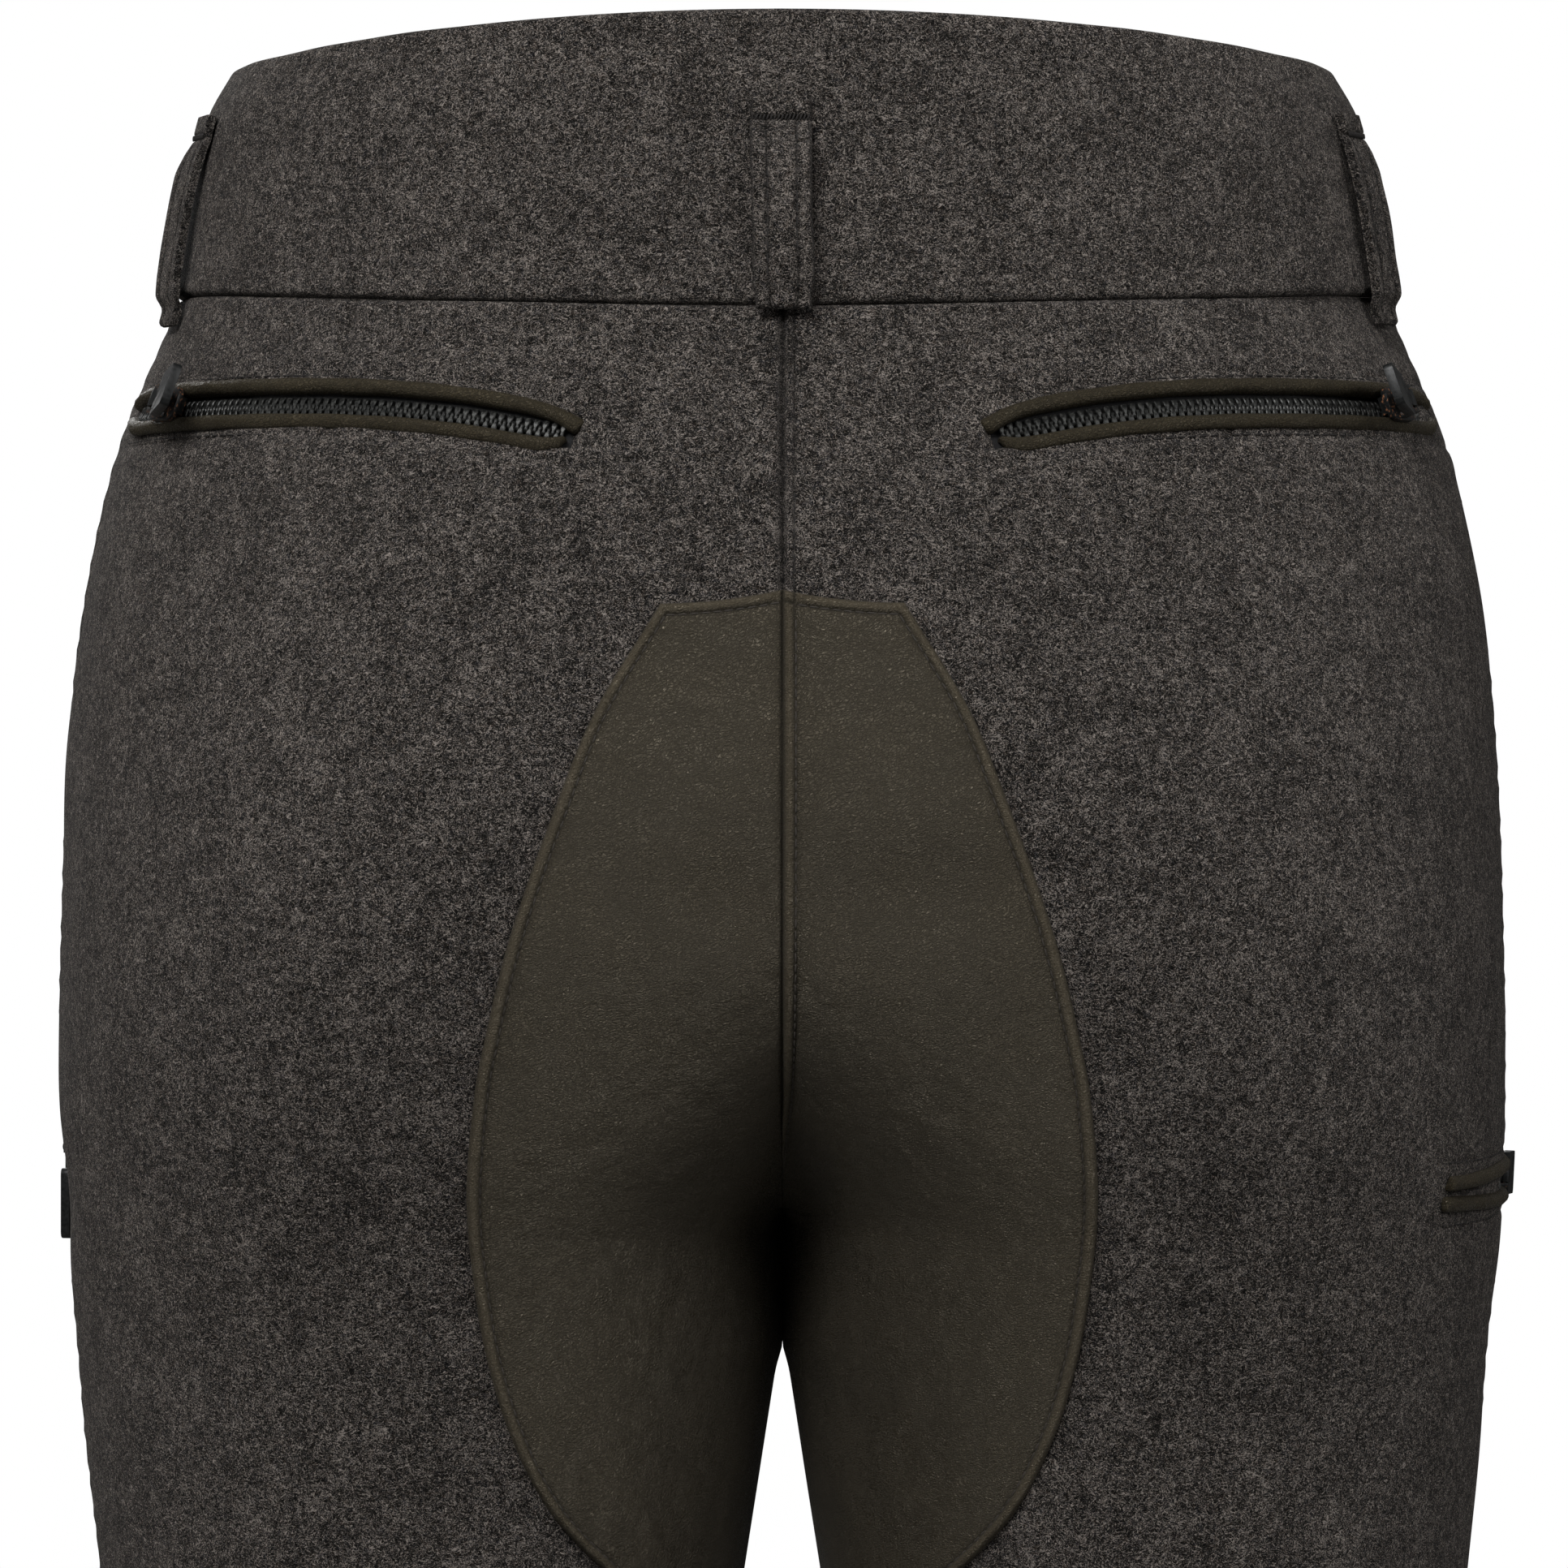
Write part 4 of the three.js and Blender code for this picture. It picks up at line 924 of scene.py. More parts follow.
# Welts: (across, out) from the pocket's line
WELT_SHAPE = np.array([
    (2.35, -1.9), (2.2, -0.6), (2.35, 0.5), (2.75, 1.2), (3.4, 1.65), (4.2, 1.75), (5.0, 1.45), (5.6, 0.9),
    (5.95, 0.2), (5.9, -0.3), (4.6, -0.5), (3.2, -0.8),
])
WELT_SLANT = 0.37
WELT_APART = {1: 0.95, -1: 0.35}  # how much further out each welt lies between its ends
WELT_CLOSES = 1.5  # how far its ends draw in


def make_welts():
    for name, line, opens, _ in pocket_lines():
        parts = []
        back = name.startswith("back")
        for sign in (1, -1):
            start = 1.7 if back else 0.2
            dense = [(0, 1.2, 0.25), (line.length - start, 1.2, 0.25)]
            s = start + spread(line.length - start - 0.2, 1.3, dense)
            ends = np.minimum(s - s[0], s[-1] - s)
            plump = np.sqrt(1 - (1 - np.clip(ends / 1.3, 0, 1)) ** 2) * 0.55 + 0.45
            a, h = WELT_SHAPE.T
            centre = 4.1
            swell = (1 + 0.035 * np.sin(s / 3.1 + sign))[:, None]
            wide = centre + (a - centre) * (0.35 + 0.65 * plump)[:, None] * swell
            high = np.where(h > 0, h * plump[:, None] * (1 + 0.06 * np.sin(s / 2.2 + sign * 2))[:, None], h)
            ripple = 0.09 * np.sin(s * 2 * math.pi / 2.9)[:, None] * hump(a - 5.0, 1.2) * (h > 0)
            slant = (-WELT_SLANT * sign * wide if back else 0.18 * sign * wide) * hump(s - s[0], 5.0)[:, None]
            where = s[:, None] + slant
            apart = WELT_APART[sign] * (1 - hump(ends, 9)) - WELT_CLOSES * hump(ends, 4)
            if not back:
                apart = -WELT_CLOSES * hump(s, 0.7 * (opens if name.endswith("right") else 5))
            rings = line.spot(where, sign * (wide + apart[:, None]), high + ripple)
            points, faces = tube(rings)
            parts.append((points, faces))
        points, faces = joined_meshes(parts)
        piece = sewn_piece(f"leather_welts_{name}", points, faces, "leather_trim")
        hand_over(piece, "leather", f"{name}_welt_upper", f"{name}_welt_lower")


# Zips
TOOTH_PITCH = 2.3
TAPE_LEVEL = -2.3
CHAIN_LOW = 0.55
# A tooth's rings, from its heel to its head: across, width along the zip, bottom, top
TOOTH_RINGS = np.array([
    (2.75, 1.15, -2.2, -1.25), (2.55, 1.5, -2.3, -0.75), (1.7, 1.52, -2.3, -0.35), (0.9, 1.30, -2.2, -0.3),
    (0.25, 0.82, -2.1, -0.45), (-0.25, 0.86, -2.0, -0.5), (-0.65, 1.28, -1.9, -0.55), (-1.0, 1.1, -1.8, -0.75),
    (-1.15, 0.6, -1.6, -1.0),
])


def tooth(sign):
    """One tooth in the zip's own measures: along, across, out."""
    sections = []
    for across, width, low, high in TOOTH_RINGS:
        half, round_off = width / 2, 0.22
        ring = [
            (-half, low), (half, low), (half, high - round_off), (half - round_off, high),
            (-half + round_off, high), (-half, high - round_off),
        ]
        sections.append([(x, sign * across, y) for x, y in ring])
    return tube(np.array(sections))


def make_zips():
    for name, line, start, stop in pocket_lines():
        s = np.linspace(start - 1.5, stop + 1.5, 90)
        a = np.array([-3.9, -2.6, -1.2, 0, 1.2, 2.6, 3.9])
        s_grid, a_grid = np.meshgrid(s, a, indexing="ij")
        woven = 0.06 * np.sin(s_grid * 2 * math.pi / 1.1 + a_grid)
        over = line.spot(s_grid, a_grid, TAPE_LEVEL + woven)
        under = line.spot(s_grid, a_grid, np.full(s_grid.shape, TAPE_LEVEL - 0.5))
        tape_points, tape_faces = wall(over, under)
        parts = [(tape_points, tape_faces)]
        templates = {sign: tooth(sign) for sign in (1, -1)}
        count = int((stop - start - 1.5) / TOOTH_PITCH * 2)
        for k in range(count):
            sign = 1 if k % 2 == 0 else -1
            base = start + 1.2 + k * TOOTH_PITCH / 2
            local, faces = templates[sign]
            jitter = 0.05 * math.sin(k * 12.9)
            low = CHAIN_LOW * fade(min(base - start, stop - base), 0, 12)
            high = local[:, 2] + 0.04 * math.sin(k * 7.7)
            points = line.spot(base + local[:, 0] + jitter, local[:, 1] - low, high)
            parts.append((points, faces))
        points, faces = joined_meshes(parts)
        indices = [0] * len(tape_faces) + [1] * (len(faces) - len(tape_faces))
        finishes = [finish("zip_tape"), finish("zip_teeth")]
        piece = outside_out(new_piece(f"zip_{name}", points, faces, finishes, indices=indices))
        hand_over(piece, "zip_tape", f"{name}_zip")


# Sliders and pulls keep the frame's form, with rounded and worn edges
SLIDER_ROUNDING, PULL_ROUNDING = 0.3, 0.35
PULL_RIM = 1.7  # width of the raised rim round a pull's flat sides


def softened(node, name, width, material, worn=1.0, inset=None):
    work = bmesh.new()
    work.from_mesh(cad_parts[node].data)
    bmesh.ops.remove_doubles(work, verts=work.verts, dist=2e-5)
    bmesh.ops.dissolve_limit(
        work, angle_limit=math.radians(3), verts=work.verts, edges=work.edges, use_dissolve_boundaries=False
    )
    if inset:
        large = sorted(work.faces, key=lambda f: -f.calc_area())[:2]
        bmesh.ops.inset_individual(work, faces=large, thickness=inset * MM, depth=-0.35 * MM)
    edges = [e for e in work.edges if len(e.link_faces) == 2 and e.calc_face_angle(0) > math.radians(35)]
    made = bmesh.ops.bevel(
        work, geom=edges, offset=width * MM, segments=2, profile=0.6, affect="EDGES", clamp_overlap=True
    )
    bmesh.ops.triangulate(work, faces=[f for f in work.faces if len(f.verts) > 4])
    work.verts.index_update()
    layer = work.verts.layers.float.new("wear")
    bevel_faces = set(made["faces"])
    for vert in work.verts:
        vert[layer] = worn if any(f in bevel_faces for f in vert.link_faces) else 0.0
    mesh = bpy.data.meshes.new(name)
    work.to_mesh(mesh)
    work.free()
    mesh.materials.append(material)
    mesh.shade_smooth()
    mesh.set_sharp_from_angle(angle=math.radians(30))
    piece = bpy.data.objects.new(name, mesh)
    bpy.context.scene.collection.objects.link(piece)
    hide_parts(node)
    return piece


def make_sliders():
    for place_name in ("back_left", "back_right", "thigh_left", "thigh_right"):
        metal = finish("slider_metal")
        slider = softened(f"{place_name}_slider", f"metal_slider_{place_name}", SLIDER_ROUNDING, metal)
        hand_over(slider, "zip_metal")
        pull = softened(f"{place_name}_pull", f"metal_pull_{place_name}", PULL_ROUNDING, metal, 0.0, PULL_RIM)
        hand_over(pull, "zip_metal", body="pull_" + place_name)


# Waist button
def make_button():
    chosen = bpy.context.scene.loden_trousers
    profile = np.array([
        (0, 0.35), (4, 0.25), (7.4, 0.1), (8.5, 0.35), (9, 1.1), (9, 1.9), (8.75, 2.55), (8.2, 3), (7.6, 3),
        (7.1, 2.75), (6.7, 2.35), (6, 2.2), (4.2, 2.15), (2, 2.15), (0, 2.15),
    ]) * (chosen.button_radius / (9 * MM), chosen.button_thickness / (3 * MM))
    steps = 72
    around = np.linspace(0, 2 * math.pi, steps, endpoint=False)
    work = bmesh.new()
    rings = []
    for radius, height in profile:
        count = 1 if radius == 0 else steps
        rings.append([
            work.verts.new((radius * math.cos(t) * MM, radius * math.sin(t) * MM, height * MM))
            for t in around[:count]
        ])
    for low, top in zip(rings, rings[1:]):
        for k in range(steps):
            corners = [low[k % len(low)], low[(k + 1) % len(low)], top[(k + 1) % len(top)], top[k % len(top)]]
            work.faces.new(list(dict.fromkeys(corners)))
    bmesh.ops.recalc_face_normals(work, faces=work.faces)
    mesh = bpy.data.meshes.new("waist_button")
    work.to_mesh(mesh)
    work.free()
    piece = bpy.data.objects.new("horn_button", mesh)
    bpy.context.scene.collection.objects.link(piece)
    for x, y in ((1, 1), (1, -1), (-1, 1), (-1, -1)):
        bpy.ops.mesh.primitive_cylinder_add(
            vertices=24, radius=BUTTON["hole"] * MM, depth=12 * MM,
            location=(x * BUTTON["spread"] * MM, y * BUTTON["spread"] * MM, 0)
        )
        drill = bpy.context.object
        cut = piece.modifiers.new("hole", "BOOLEAN")
        cut.operation, cut.solver, cut.object = "DIFFERENCE", "EXACT", drill
        bpy.context.view_layer.objects.active = piece
        bpy.ops.object.modifier_apply(modifier=cut.name)
        bpy.data.objects.remove(drill)
    turn = -turn_at(BUTTON["z"], BUTTON["x"])
    out = BAND_PROUD + OVERLAP_LIFT + AIR + BUTTON["clear"]
    seat = moved(float(BUTTON["z"]), turn, out)
    up = outward(place(float(BUTTON["z"]), turn))
    across = unit(np.cross((0, 0, 1), up))
    rise = np.cross(up, across)
    basis = Matrix(np.column_stack([across, rise, up]).tolist()).to_4x4()
    piece.data.transform(Matrix.Translation(Vector(seat * MM)) @ basis)
    piece.data.materials.append(finish("horn"))
    piece.data.shade_smooth()
    piece.data.set_sharp_from_angle(angle=math.radians(40))
    hand_over(piece, "button", "waist_button")
    threads = []
    for sign in (-1, 1):
        path = []
        for t in np.linspace(-1, 1, 9):
            lift = 2.35 + 0.5 * (1 - t * t)
            path.append(seat + up * lift + across * sign * BUTTON["spread"] + rise * BUTTON["spread"] * t)
        threads.append(cord_mesh(np.array(path), 0.42))
    points, faces = joined_meshes(threads)
    hand_over(sewn_piece("thread_button", points, faces, "thread"), None)


def cord_mesh(path, radius, sides=8):
    """A round strand through a path."""
    ahead = unit(np.gradient(path, axis=0))
    aside = unit(np.cross(ahead, (0.31, 0.17, 0.93)))
    over = np.cross(ahead, aside)
    around = np.linspace(0, 2 * math.pi, sides, endpoint=False)
    ring = aside[:, None] * np.cos(around)[None, :, None] + over[:, None] * np.sin(around)[None, :, None]
    return tube(path[:, None] + ring * radius)


# Stitching
SEAT_PITCH = 2.75
STITCH_RINGS = ((-1, 0.35), (-0.86, 0.8), (-0.4, 1.0), (0.4, 1.0), (0.86, 0.8), (1, 0.35))


def stitches(path, ups, pitch, length, radius, sink=0.0):
    """Points and faces of separate stitches along a path, each a short plump strand."""
    run = np.concatenate([[0], np.cumsum(np.linalg.norm(np.diff(path, axis=0), axis=1))])
    count = max(1, int(run[-1] / pitch))
    pitch = run[-1] / count
    parts = []
    around = np.linspace(0, 2 * math.pi, 6, endpoint=False)

    def read(values, at):
        return np.array([np.interp(at, run, values[:, k]) for k in range(3)])

    for k in range(count):
        middle = (k + 0.5) * pitch
        first, last = read(path, middle - length / 2), read(path, middle + length / 2)
        up = unit(read(ups, middle))
        ahead = unit(last - first)
        aside = np.cross(ahead, up)
        up = np.cross(aside, ahead)
        lean = 0.06 * math.sin(k * 5.1)
        ahead = unit(ahead + aside * lean)
        centre = (first + last) / 2 - up * sink
        sections = []
        for along_it, plump in STITCH_RINGS:
            dip = -0.5 * radius * along_it ** 2
            at = centre + ahead * along_it * length / 2 + up * dip
            sections.append([
                at + (aside * math.cos(t) + up * math.sin(t) * 0.85) * radius * plump for t in around
            ])
        parts.append(tube(np.array(sections)))
    return parts


def seat_stitch_paths(side):
    """The seat's rows of stitches: down its outer edge and across its top, and down the centre roll."""
    top, bottom = SEAT["z"][0], SEAT["z"][-1]
    levels = np.linspace(top - SEAT_STITCH, bottom + SEAT_STITCH, 260)
    edge, last, _, _ = seat_edge(levels)
    slope = np.abs(np.gradient(edge, levels))
    inset = SEAT_STITCH * np.sqrt(1 + np.minimum(slope, 1.2) ** 2)
    lift = 1.45
    sides, side_ups = on_form(levels, edge + inset, side, 1, lift)
    count = 60
    level = np.full(count, top - SEAT_STITCH)
    edge0, last0, _, _ = seat_edge(level[:1])
    run = np.linspace(edge0[0] + SEAT_STITCH, last0[0] - (4.2 if side < 0 else 1.2), count)
    share = (run - edge0[0]) / (last0[0] - edge0[0])
    tops, top_ups = on_form(level + SEAT_ARCH * share ** 2, run, side, 1, lift)
    rows = [(sides, side_ups), (tops, top_ups)]
    if side < 0:
        levels = np.linspace(top - 4, ROLL_ENDS[1], 160)
        _, last, _, _ = seat_edge(levels)
        down, down_ups = on_form(levels, last - 3.1, side, 1, 1.45)
        rows.append((down, down_ups))
    return rows


def make_stitching():
    for side, word in ((1, "left"), (-1, "right")):
        parts = []
        for path, ups in seat_stitch_paths(side):
            parts += stitches(path, ups, SEAT_PITCH, 2.15, 0.24)
        points, faces = joined_meshes(parts)
        hand_over(sewn_piece(f"thread_seat_{word}", points, faces, "thread"), None)
    parts = []
    for _, line, _, _ in pocket_lines():
        for sign in (1, -1):
            s = np.linspace(0.5, line.length - 0.5, 160)
            path = line.spot(s, np.full(s.shape, sign * TOPSTITCH), np.full(s.shape, -0.35))
            parts += stitches(path, sided(line.at(s)[1], line.side), 3.1, 2.2, 0.2)
    # beside the centre back seam
    z = np.linspace(-68, -133, 80)
    _, runs = girth(z, 1)
    path, ups = on_form(z, runs[:, -1] - CENTRE_STITCH, -1, 1, -0.35)
    parts += stitches(path, ups, 3.0, 2.2, 0.2)
    # the fly's curved row on the wearer's left front
    drop = np.linspace(0, 1, 90)
    z = -64 - 118 * drop
    wide = 34 * np.sqrt(np.clip(1 - drop ** 5, 0, 1)) + 1.5
    _, runs = girth(z, -1)
    path, ups = on_form(z, runs[:, -1] - wide, 1, -1, 0.05)
    parts += stitches(path, ups, 3.0, 2.2, 0.22)
    # hems
    for side in (1, -1):
        for facing in (1, -1):
            _, runs = girth(HEM + HEM_TURN, facing)
            s = np.linspace(2, runs[0, -1] - 2, 160)
            z = np.full(160, float(HEM + HEM_TURN))
            path, ups = on_form(z, s, side, facing, -0.15)
            parts += stitches(path, ups, 4.2, 1.6, 0.18)
    points, faces = joined_meshes(parts)
    hand_over(sewn_piece("thread_cloth", points, faces, "thread_dark"), None)
    # belt loops: two rows down each, and a bar tack at its top
    parts = []
    for _, degrees, side, bulge, twist, low in LOOPS:
        z, inside, up, across, turned = loop_frames(degrees, bulge, twist, low)
        use = (z < -19.4) & (z > -62)
        for offset in (-LOOP_STITCH, LOOP_STITCH):
            path = inside[use] + across * offset + up[use] * (LOOP - 0.32 - turned[use] * offset)[:, None]
            parts += stitches(sided(path, side), sided(up[use], side), 3.0, 2.2, 0.2)
        k = int(np.argmin(np.abs(z + BAR_TACK)))
        for offset in np.linspace(-6.3, 6.3, 15):
            middle = inside[k] + across * offset + up[k] * (LOOP * 1.05)
            ends = np.array([middle - (0, 0, 0.75), middle + (0, 0, 0.75)])
            ends = ends + across * np.array([[-0.3], [0.3]])
            parts += stitches(sided(ends, side), sided(np.array([up[k], up[k]]), side), 1.5, 1.5, 0.22)
    points, faces = joined_meshes(parts)
    hand_over(sewn_piece("thread_loops", points, faces, "thread_dark"), None)


# Finishes
FINISHES = {}


class Wiring:
    """Adds nodes to a tree, each fed with sockets or plain values."""

    def __init__(self, tree):
        self.tree = tree

    def add(self, kind, inputs=None, **settings):
        node = self.tree.nodes.new("ShaderNode" + kind)
        for name, value in settings.items():
            setattr(node, name, value)
        for name, value in (inputs or {}).items():
            socket = node.inputs[name]
            if isinstance(value, bpy.types.NodeSocket):
                self.tree.links.new(value, socket)
            else:
                socket.default_value = value
        return node

    def shaken(self, at, noise, amount):
        """Coordinates pushed about by a noise's colour, by up to half the amount each way."""
        off = self.vector("SUBTRACT", noise, (0.5, 0.5, 0.5))
        return self.vector("ADD", at, self.vector("MULTIPLY", off, (amount, amount, amount)))

    def math(self, operation, a, b=0.0, clamp=False):
        return self.add("Math", {0: a, 1: b}, operation=operation, use_clamp=clamp).outputs[0]

    def vector(self, operation, a, b=(0, 0, 0)):
        return self.add("VectorMath", {0: a, 1: b}, operation=operation).outputs[0]

    def ramp(self, value, low, high, to_low=0.0, to_high=1.0):
        inputs = {"Value": value, "From Min": low, "From Max": high, "To Min": to_low, "To Max": to_high}
        return self.add("MapRange", inputs, interpolation_type="SMOOTHSTEP").outputs[0]

    def mix(self, factor, a, b, blend="MIX"):
        node = self.add("Mix", data_type="RGBA", blend_type=blend, clamp_factor=True)
        for socket, value in ((node.inputs[0], factor), (node.inputs[6], a), (node.inputs[7], b)):
            if isinstance(value, bpy.types.NodeSocket):
                self.tree.links.new(value, socket)
            elif socket.type == "RGBA":
                socket.default_value = (*value[:3], 1)
            else:
                socket.default_value = value
        return node.outputs[2]

    def noise(self, coordinates, scale, detail=2.0, roughness=0.5, distortion=0.0):
        inputs = {
            "Vector": coordinates, "Scale": scale, "Detail": detail, "Roughness": roughness,
            "Distortion": distortion,
        }
        return self.add("TexNoise", inputs)

    def cells(self, coordinates, scale, feature="F1", randomness=1.0):
        inputs = {"Vector": coordinates, "Scale": scale, "Randomness": randomness}
        return self.add("TexVoronoi", inputs, feature=feature)


def new_group(name, inputs, outputs):
    """An empty shader node group with named sockets: (label, type, default)."""
    tree = bpy.data.node_groups.new(name, "ShaderNodeTree")
    for label, kind, default in inputs:
        socket = tree.interface.new_socket(label, in_out="INPUT", socket_type="NodeSocket" + kind)
        if default is not None:
            socket.default_value = default
    for label, kind in outputs:
        tree.interface.new_socket(label, in_out="OUTPUT", socket_type="NodeSocket" + kind)
    wiring = Wiring(tree)
    return tree, wiring, tree.nodes.new("NodeGroupInput").outputs, tree.nodes.new("NodeGroupOutput").inputs


# Each layer of fibres: where it starts, how far apart the tufts are, and how many fibres to a millimetre
FIBRE_LAYERS = (((0, 0, 0), 1.9, 2.6), ((31, 17, 53), 1.3, 3.3), ((11, 71, 29), 2.5, 2.0))


def fibre_group():
    """Short felted fibres lying every way, with clumps: a colour and a height."""
    if "Felted fibres" in bpy.data.node_groups:
        return bpy.data.node_groups["Felted fibres"]
    tree, w, given, out = new_group("Felted fibres", [
        ("Millimetres", "Vector", None), ("Dark", "Color", (0.01, 0.009, 0.008, 1)),
        ("Middle", "Color", (0.05, 0.045, 0.04, 1)), ("Light", "Color", (0.2, 0.18, 0.17, 1)),
        ("Brown", "Color", (0.06, 0.045, 0.034, 1)), ("Blue", "Color", (0.035, 0.038, 0.046, 1)),
    ], [("Color", "Color"), ("Height", "Float")])
    mm = given["Millimetres"]
    sway = w.noise(mm, 0.55, 1.0).outputs["Color"]
    swayed = w.shaken(mm, sway, 1.5)
    layers = []
    for offset, size, fine in FIBRE_LAYERS:
        moved_by = w.vector("ADD", swayed, offset)
        cell = w.cells(moved_by, 1 / size)
        local = w.vector("SUBTRACT", moved_by, cell.outputs["Position"])
        turned = w.add("VectorRotate", {
            "Vector": local, "Rotation": w.vector("MULTIPLY", cell.outputs["Color"], (6.28, 6.28, 6.28)),
        }, rotation_type="EULER_XYZ").outputs[0]
        stretched = w.vector("MULTIPLY", turned, (fine, fine, fine * 0.2))
        long_way = w.vector("ADD", stretched, cell.outputs["Position"])
        strand = w.noise(long_way, 1.0, 0.0, 0.5).outputs[0]
        spread_out = w.math("MULTIPLY", w.math("ABSOLUTE", w.math("SUBTRACT", strand, 0.5)), 11.0)
        layers.append(w.math("SUBTRACT", 1.0, spread_out, clamp=True))
    fibres = w.math("MULTIPLY", w.math("ADD", w.math("ADD", layers[0], layers[1]), layers[2]), 0.46)
    speck = w.math("SUBTRACT", w.noise(mm, 2.4, 1.0, 0.6).outputs[0], 0.5)
    clump = w.math("SUBTRACT", w.noise(mm, 0.5, 2.0, 0.6).outputs[0], 0.5)
    patches = w.math("SUBTRACT", w.noise(mm, 0.09, 2.0, 0.5).outputs[0], 0.5)
    depth = w.math("ADD", w.math("MULTIPLY", clump, 0.95), w.math("MULTIPLY", patches, 0.4))
    depth = w.math("ADD", depth, w.math("MULTIPLY", speck, 1.3))
    amount = w.math("ADD", w.math("MULTIPLY", fibres, 1.2), w.math("SUBTRACT", depth, 0.06), clamp=True)
    tint = w.noise(mm, 0.9, 2.0, 0.6).outputs["Color"]
    split = w.add("SeparateColor", {0: tint})
    middle = w.mix(w.ramp(split.outputs[0], 0.52, 0.66, 0, 0.75), given["Middle"], given["Brown"])
    middle = w.mix(w.ramp(split.outputs[1], 0.53, 0.66, 0, 0.75), middle, given["Blue"])
    low = w.mix(w.ramp(amount, 0.0, 0.42), given["Dark"], middle)
    colour = w.mix(w.ramp(amount, 0.40, 1.0), low, given["Light"])
    w.tree.links.new(colour, out["Color"])
    height = w.math("ADD", w.math("MULTIPLY", fibres, 0.7), w.math("MULTIPLY", depth, 0.8))
    w.tree.links.new(height, out["Height"])
    return tree


def grain_group():
    """Fine smooth-grain leather: pebbles drawn out along wrinkles, a fold mask and a height."""
    if "Leather grain" in bpy.data.node_groups:
        return bpy.data.node_groups["Leather grain"]
    tree, w, given, out = new_group("Leather grain", [
        ("Millimetres", "Vector", None), ("Pebble", "Float", 1.0), ("Wrinkles", "Float", 1.0),
    ], [("Creases", "Float"), ("Blotches", "Float"), ("Height", "Float")])
    mm = given["Millimetres"]
    bend = w.noise(mm, 0.11, 2.0).outputs["Color"]
    bent = w.shaken(mm, bend, 5)
    tilted = w.add("VectorRotate", {"Vector": bent, "Angle": -0.5}, rotation_type="Y_AXIS").outputs[0]
    drawn = w.vector("MULTIPLY", tilted, (0.62, 0.8, 1.25))
    jitter = w.noise(mm, 1.3, 1.0).outputs["Color"]
    drawn = w.shaken(drawn, jitter, 0.7)
    pebbles = w.cells(drawn, 1.35, "DISTANCE_TO_EDGE").outputs["Distance"]
    fine = w.cells(drawn, 2.7, "DISTANCE_TO_EDGE").outputs["Distance"]
    pebble = w.ramp(pebbles, 0.0, 0.22)
    small = w.ramp(fine, 0.0, 0.3)
    lines = w.noise(w.vector("MULTIPLY", tilted, (0.10, 0.3, 0.62)), 1.0, 3.0, 0.6).outputs[0]
    off_line = w.math("MULTIPLY", w.math("ABSOLUTE", w.math("SUBTRACT", lines, 0.5)), 14.0)
    line = w.math("SUBTRACT", 1.0, off_line, clamp=True)
    where = w.ramp(w.noise(mm, 0.035, 2.0).outputs[0], 0.42, 0.62)
    line = w.math("MULTIPLY", w.math("MULTIPLY", line, where), given["Wrinkles"])
    height = w.math("ADD", w.math("MULTIPLY", pebble, 0.6), w.math("MULTIPLY", small, 0.5))
    height = w.math("MULTIPLY", height, given["Pebble"])
    height = w.math("SUBTRACT", height, w.math("MULTIPLY", line, 0.18))
    creases = w.math("ADD", w.math("SUBTRACT", 1.0, pebble), w.math("MULTIPLY", line, 0.5), clamp=True)
    w.tree.links.new(creases, out["Creases"])
    w.tree.links.new(w.noise(mm, 0.06, 3.0, 0.6).outputs[0], out["Blotches"])
    w.tree.links.new(height, out["Height"])
    return tree


def twist_group():
    """Twisted or woven yarn: slanting ribs."""
    if "Yarn ribs" in bpy.data.node_groups:
        return bpy.data.node_groups["Yarn ribs"]
    tree, w, given, out = new_group("Yarn ribs", [
        ("Millimetres", "Vector", None), ("Ribs", "Float", 2.0),
    ], [("Rib", "Float"), ("Mottle", "Float")])
    slanted = w.add("VectorRotate", {"Vector": given["Millimetres"], "Rotation": (0.7, 0.5, 0.8)},
                    rotation_type="EULER_XYZ").outputs[0]
    wave = w.add("TexWave", {"Vector": slanted, "Scale": given["Ribs"], "Distortion": 1.2, "Detail": 1.0},
                 wave_type="BANDS").outputs[1]
    w.tree.links.new(wave, out["Rib"])
    w.tree.links.new(w.noise(given["Millimetres"], 1.6, 2.0).outputs[0], out["Mottle"])
    return tree


def new_finish(name, **settings):
    """A material with its shader, the piece's own place in millimetres, and its wiring."""
    material = bpy.data.materials.new(name)
    material.use_nodes = True
    tree = material.node_tree
    tree.nodes.clear()
    w = Wiring(tree)
    shader = w.add("BsdfPrincipled", settings)
    surface = w.add("OutputMaterial")
    tree.links.new(shader.outputs[0], surface.inputs[0])
    place_at = w.add("TexCoord").outputs["Object"]
    mm = w.vector("MULTIPLY", place_at, (1000, 1000, 1000))
    return material, w, shader, mm


def grouped(w, tree, inputs):
    node = w.tree.nodes.new("ShaderNodeGroup")
    node.node_tree = tree
    for name, value in inputs.items():
        if isinstance(value, bpy.types.NodeSocket):
            w.tree.links.new(value, node.inputs[name])
        else:
            node.inputs[name].default_value = value
    return node.outputs


def bumped(w, shader, height, distance, strength=1.0):
    bump = w.add("Bump", {"Height": height, "Distance": distance * MM, "Strength": strength})
    w.tree.links.new(bump.outputs[0], shader.inputs["Normal"])


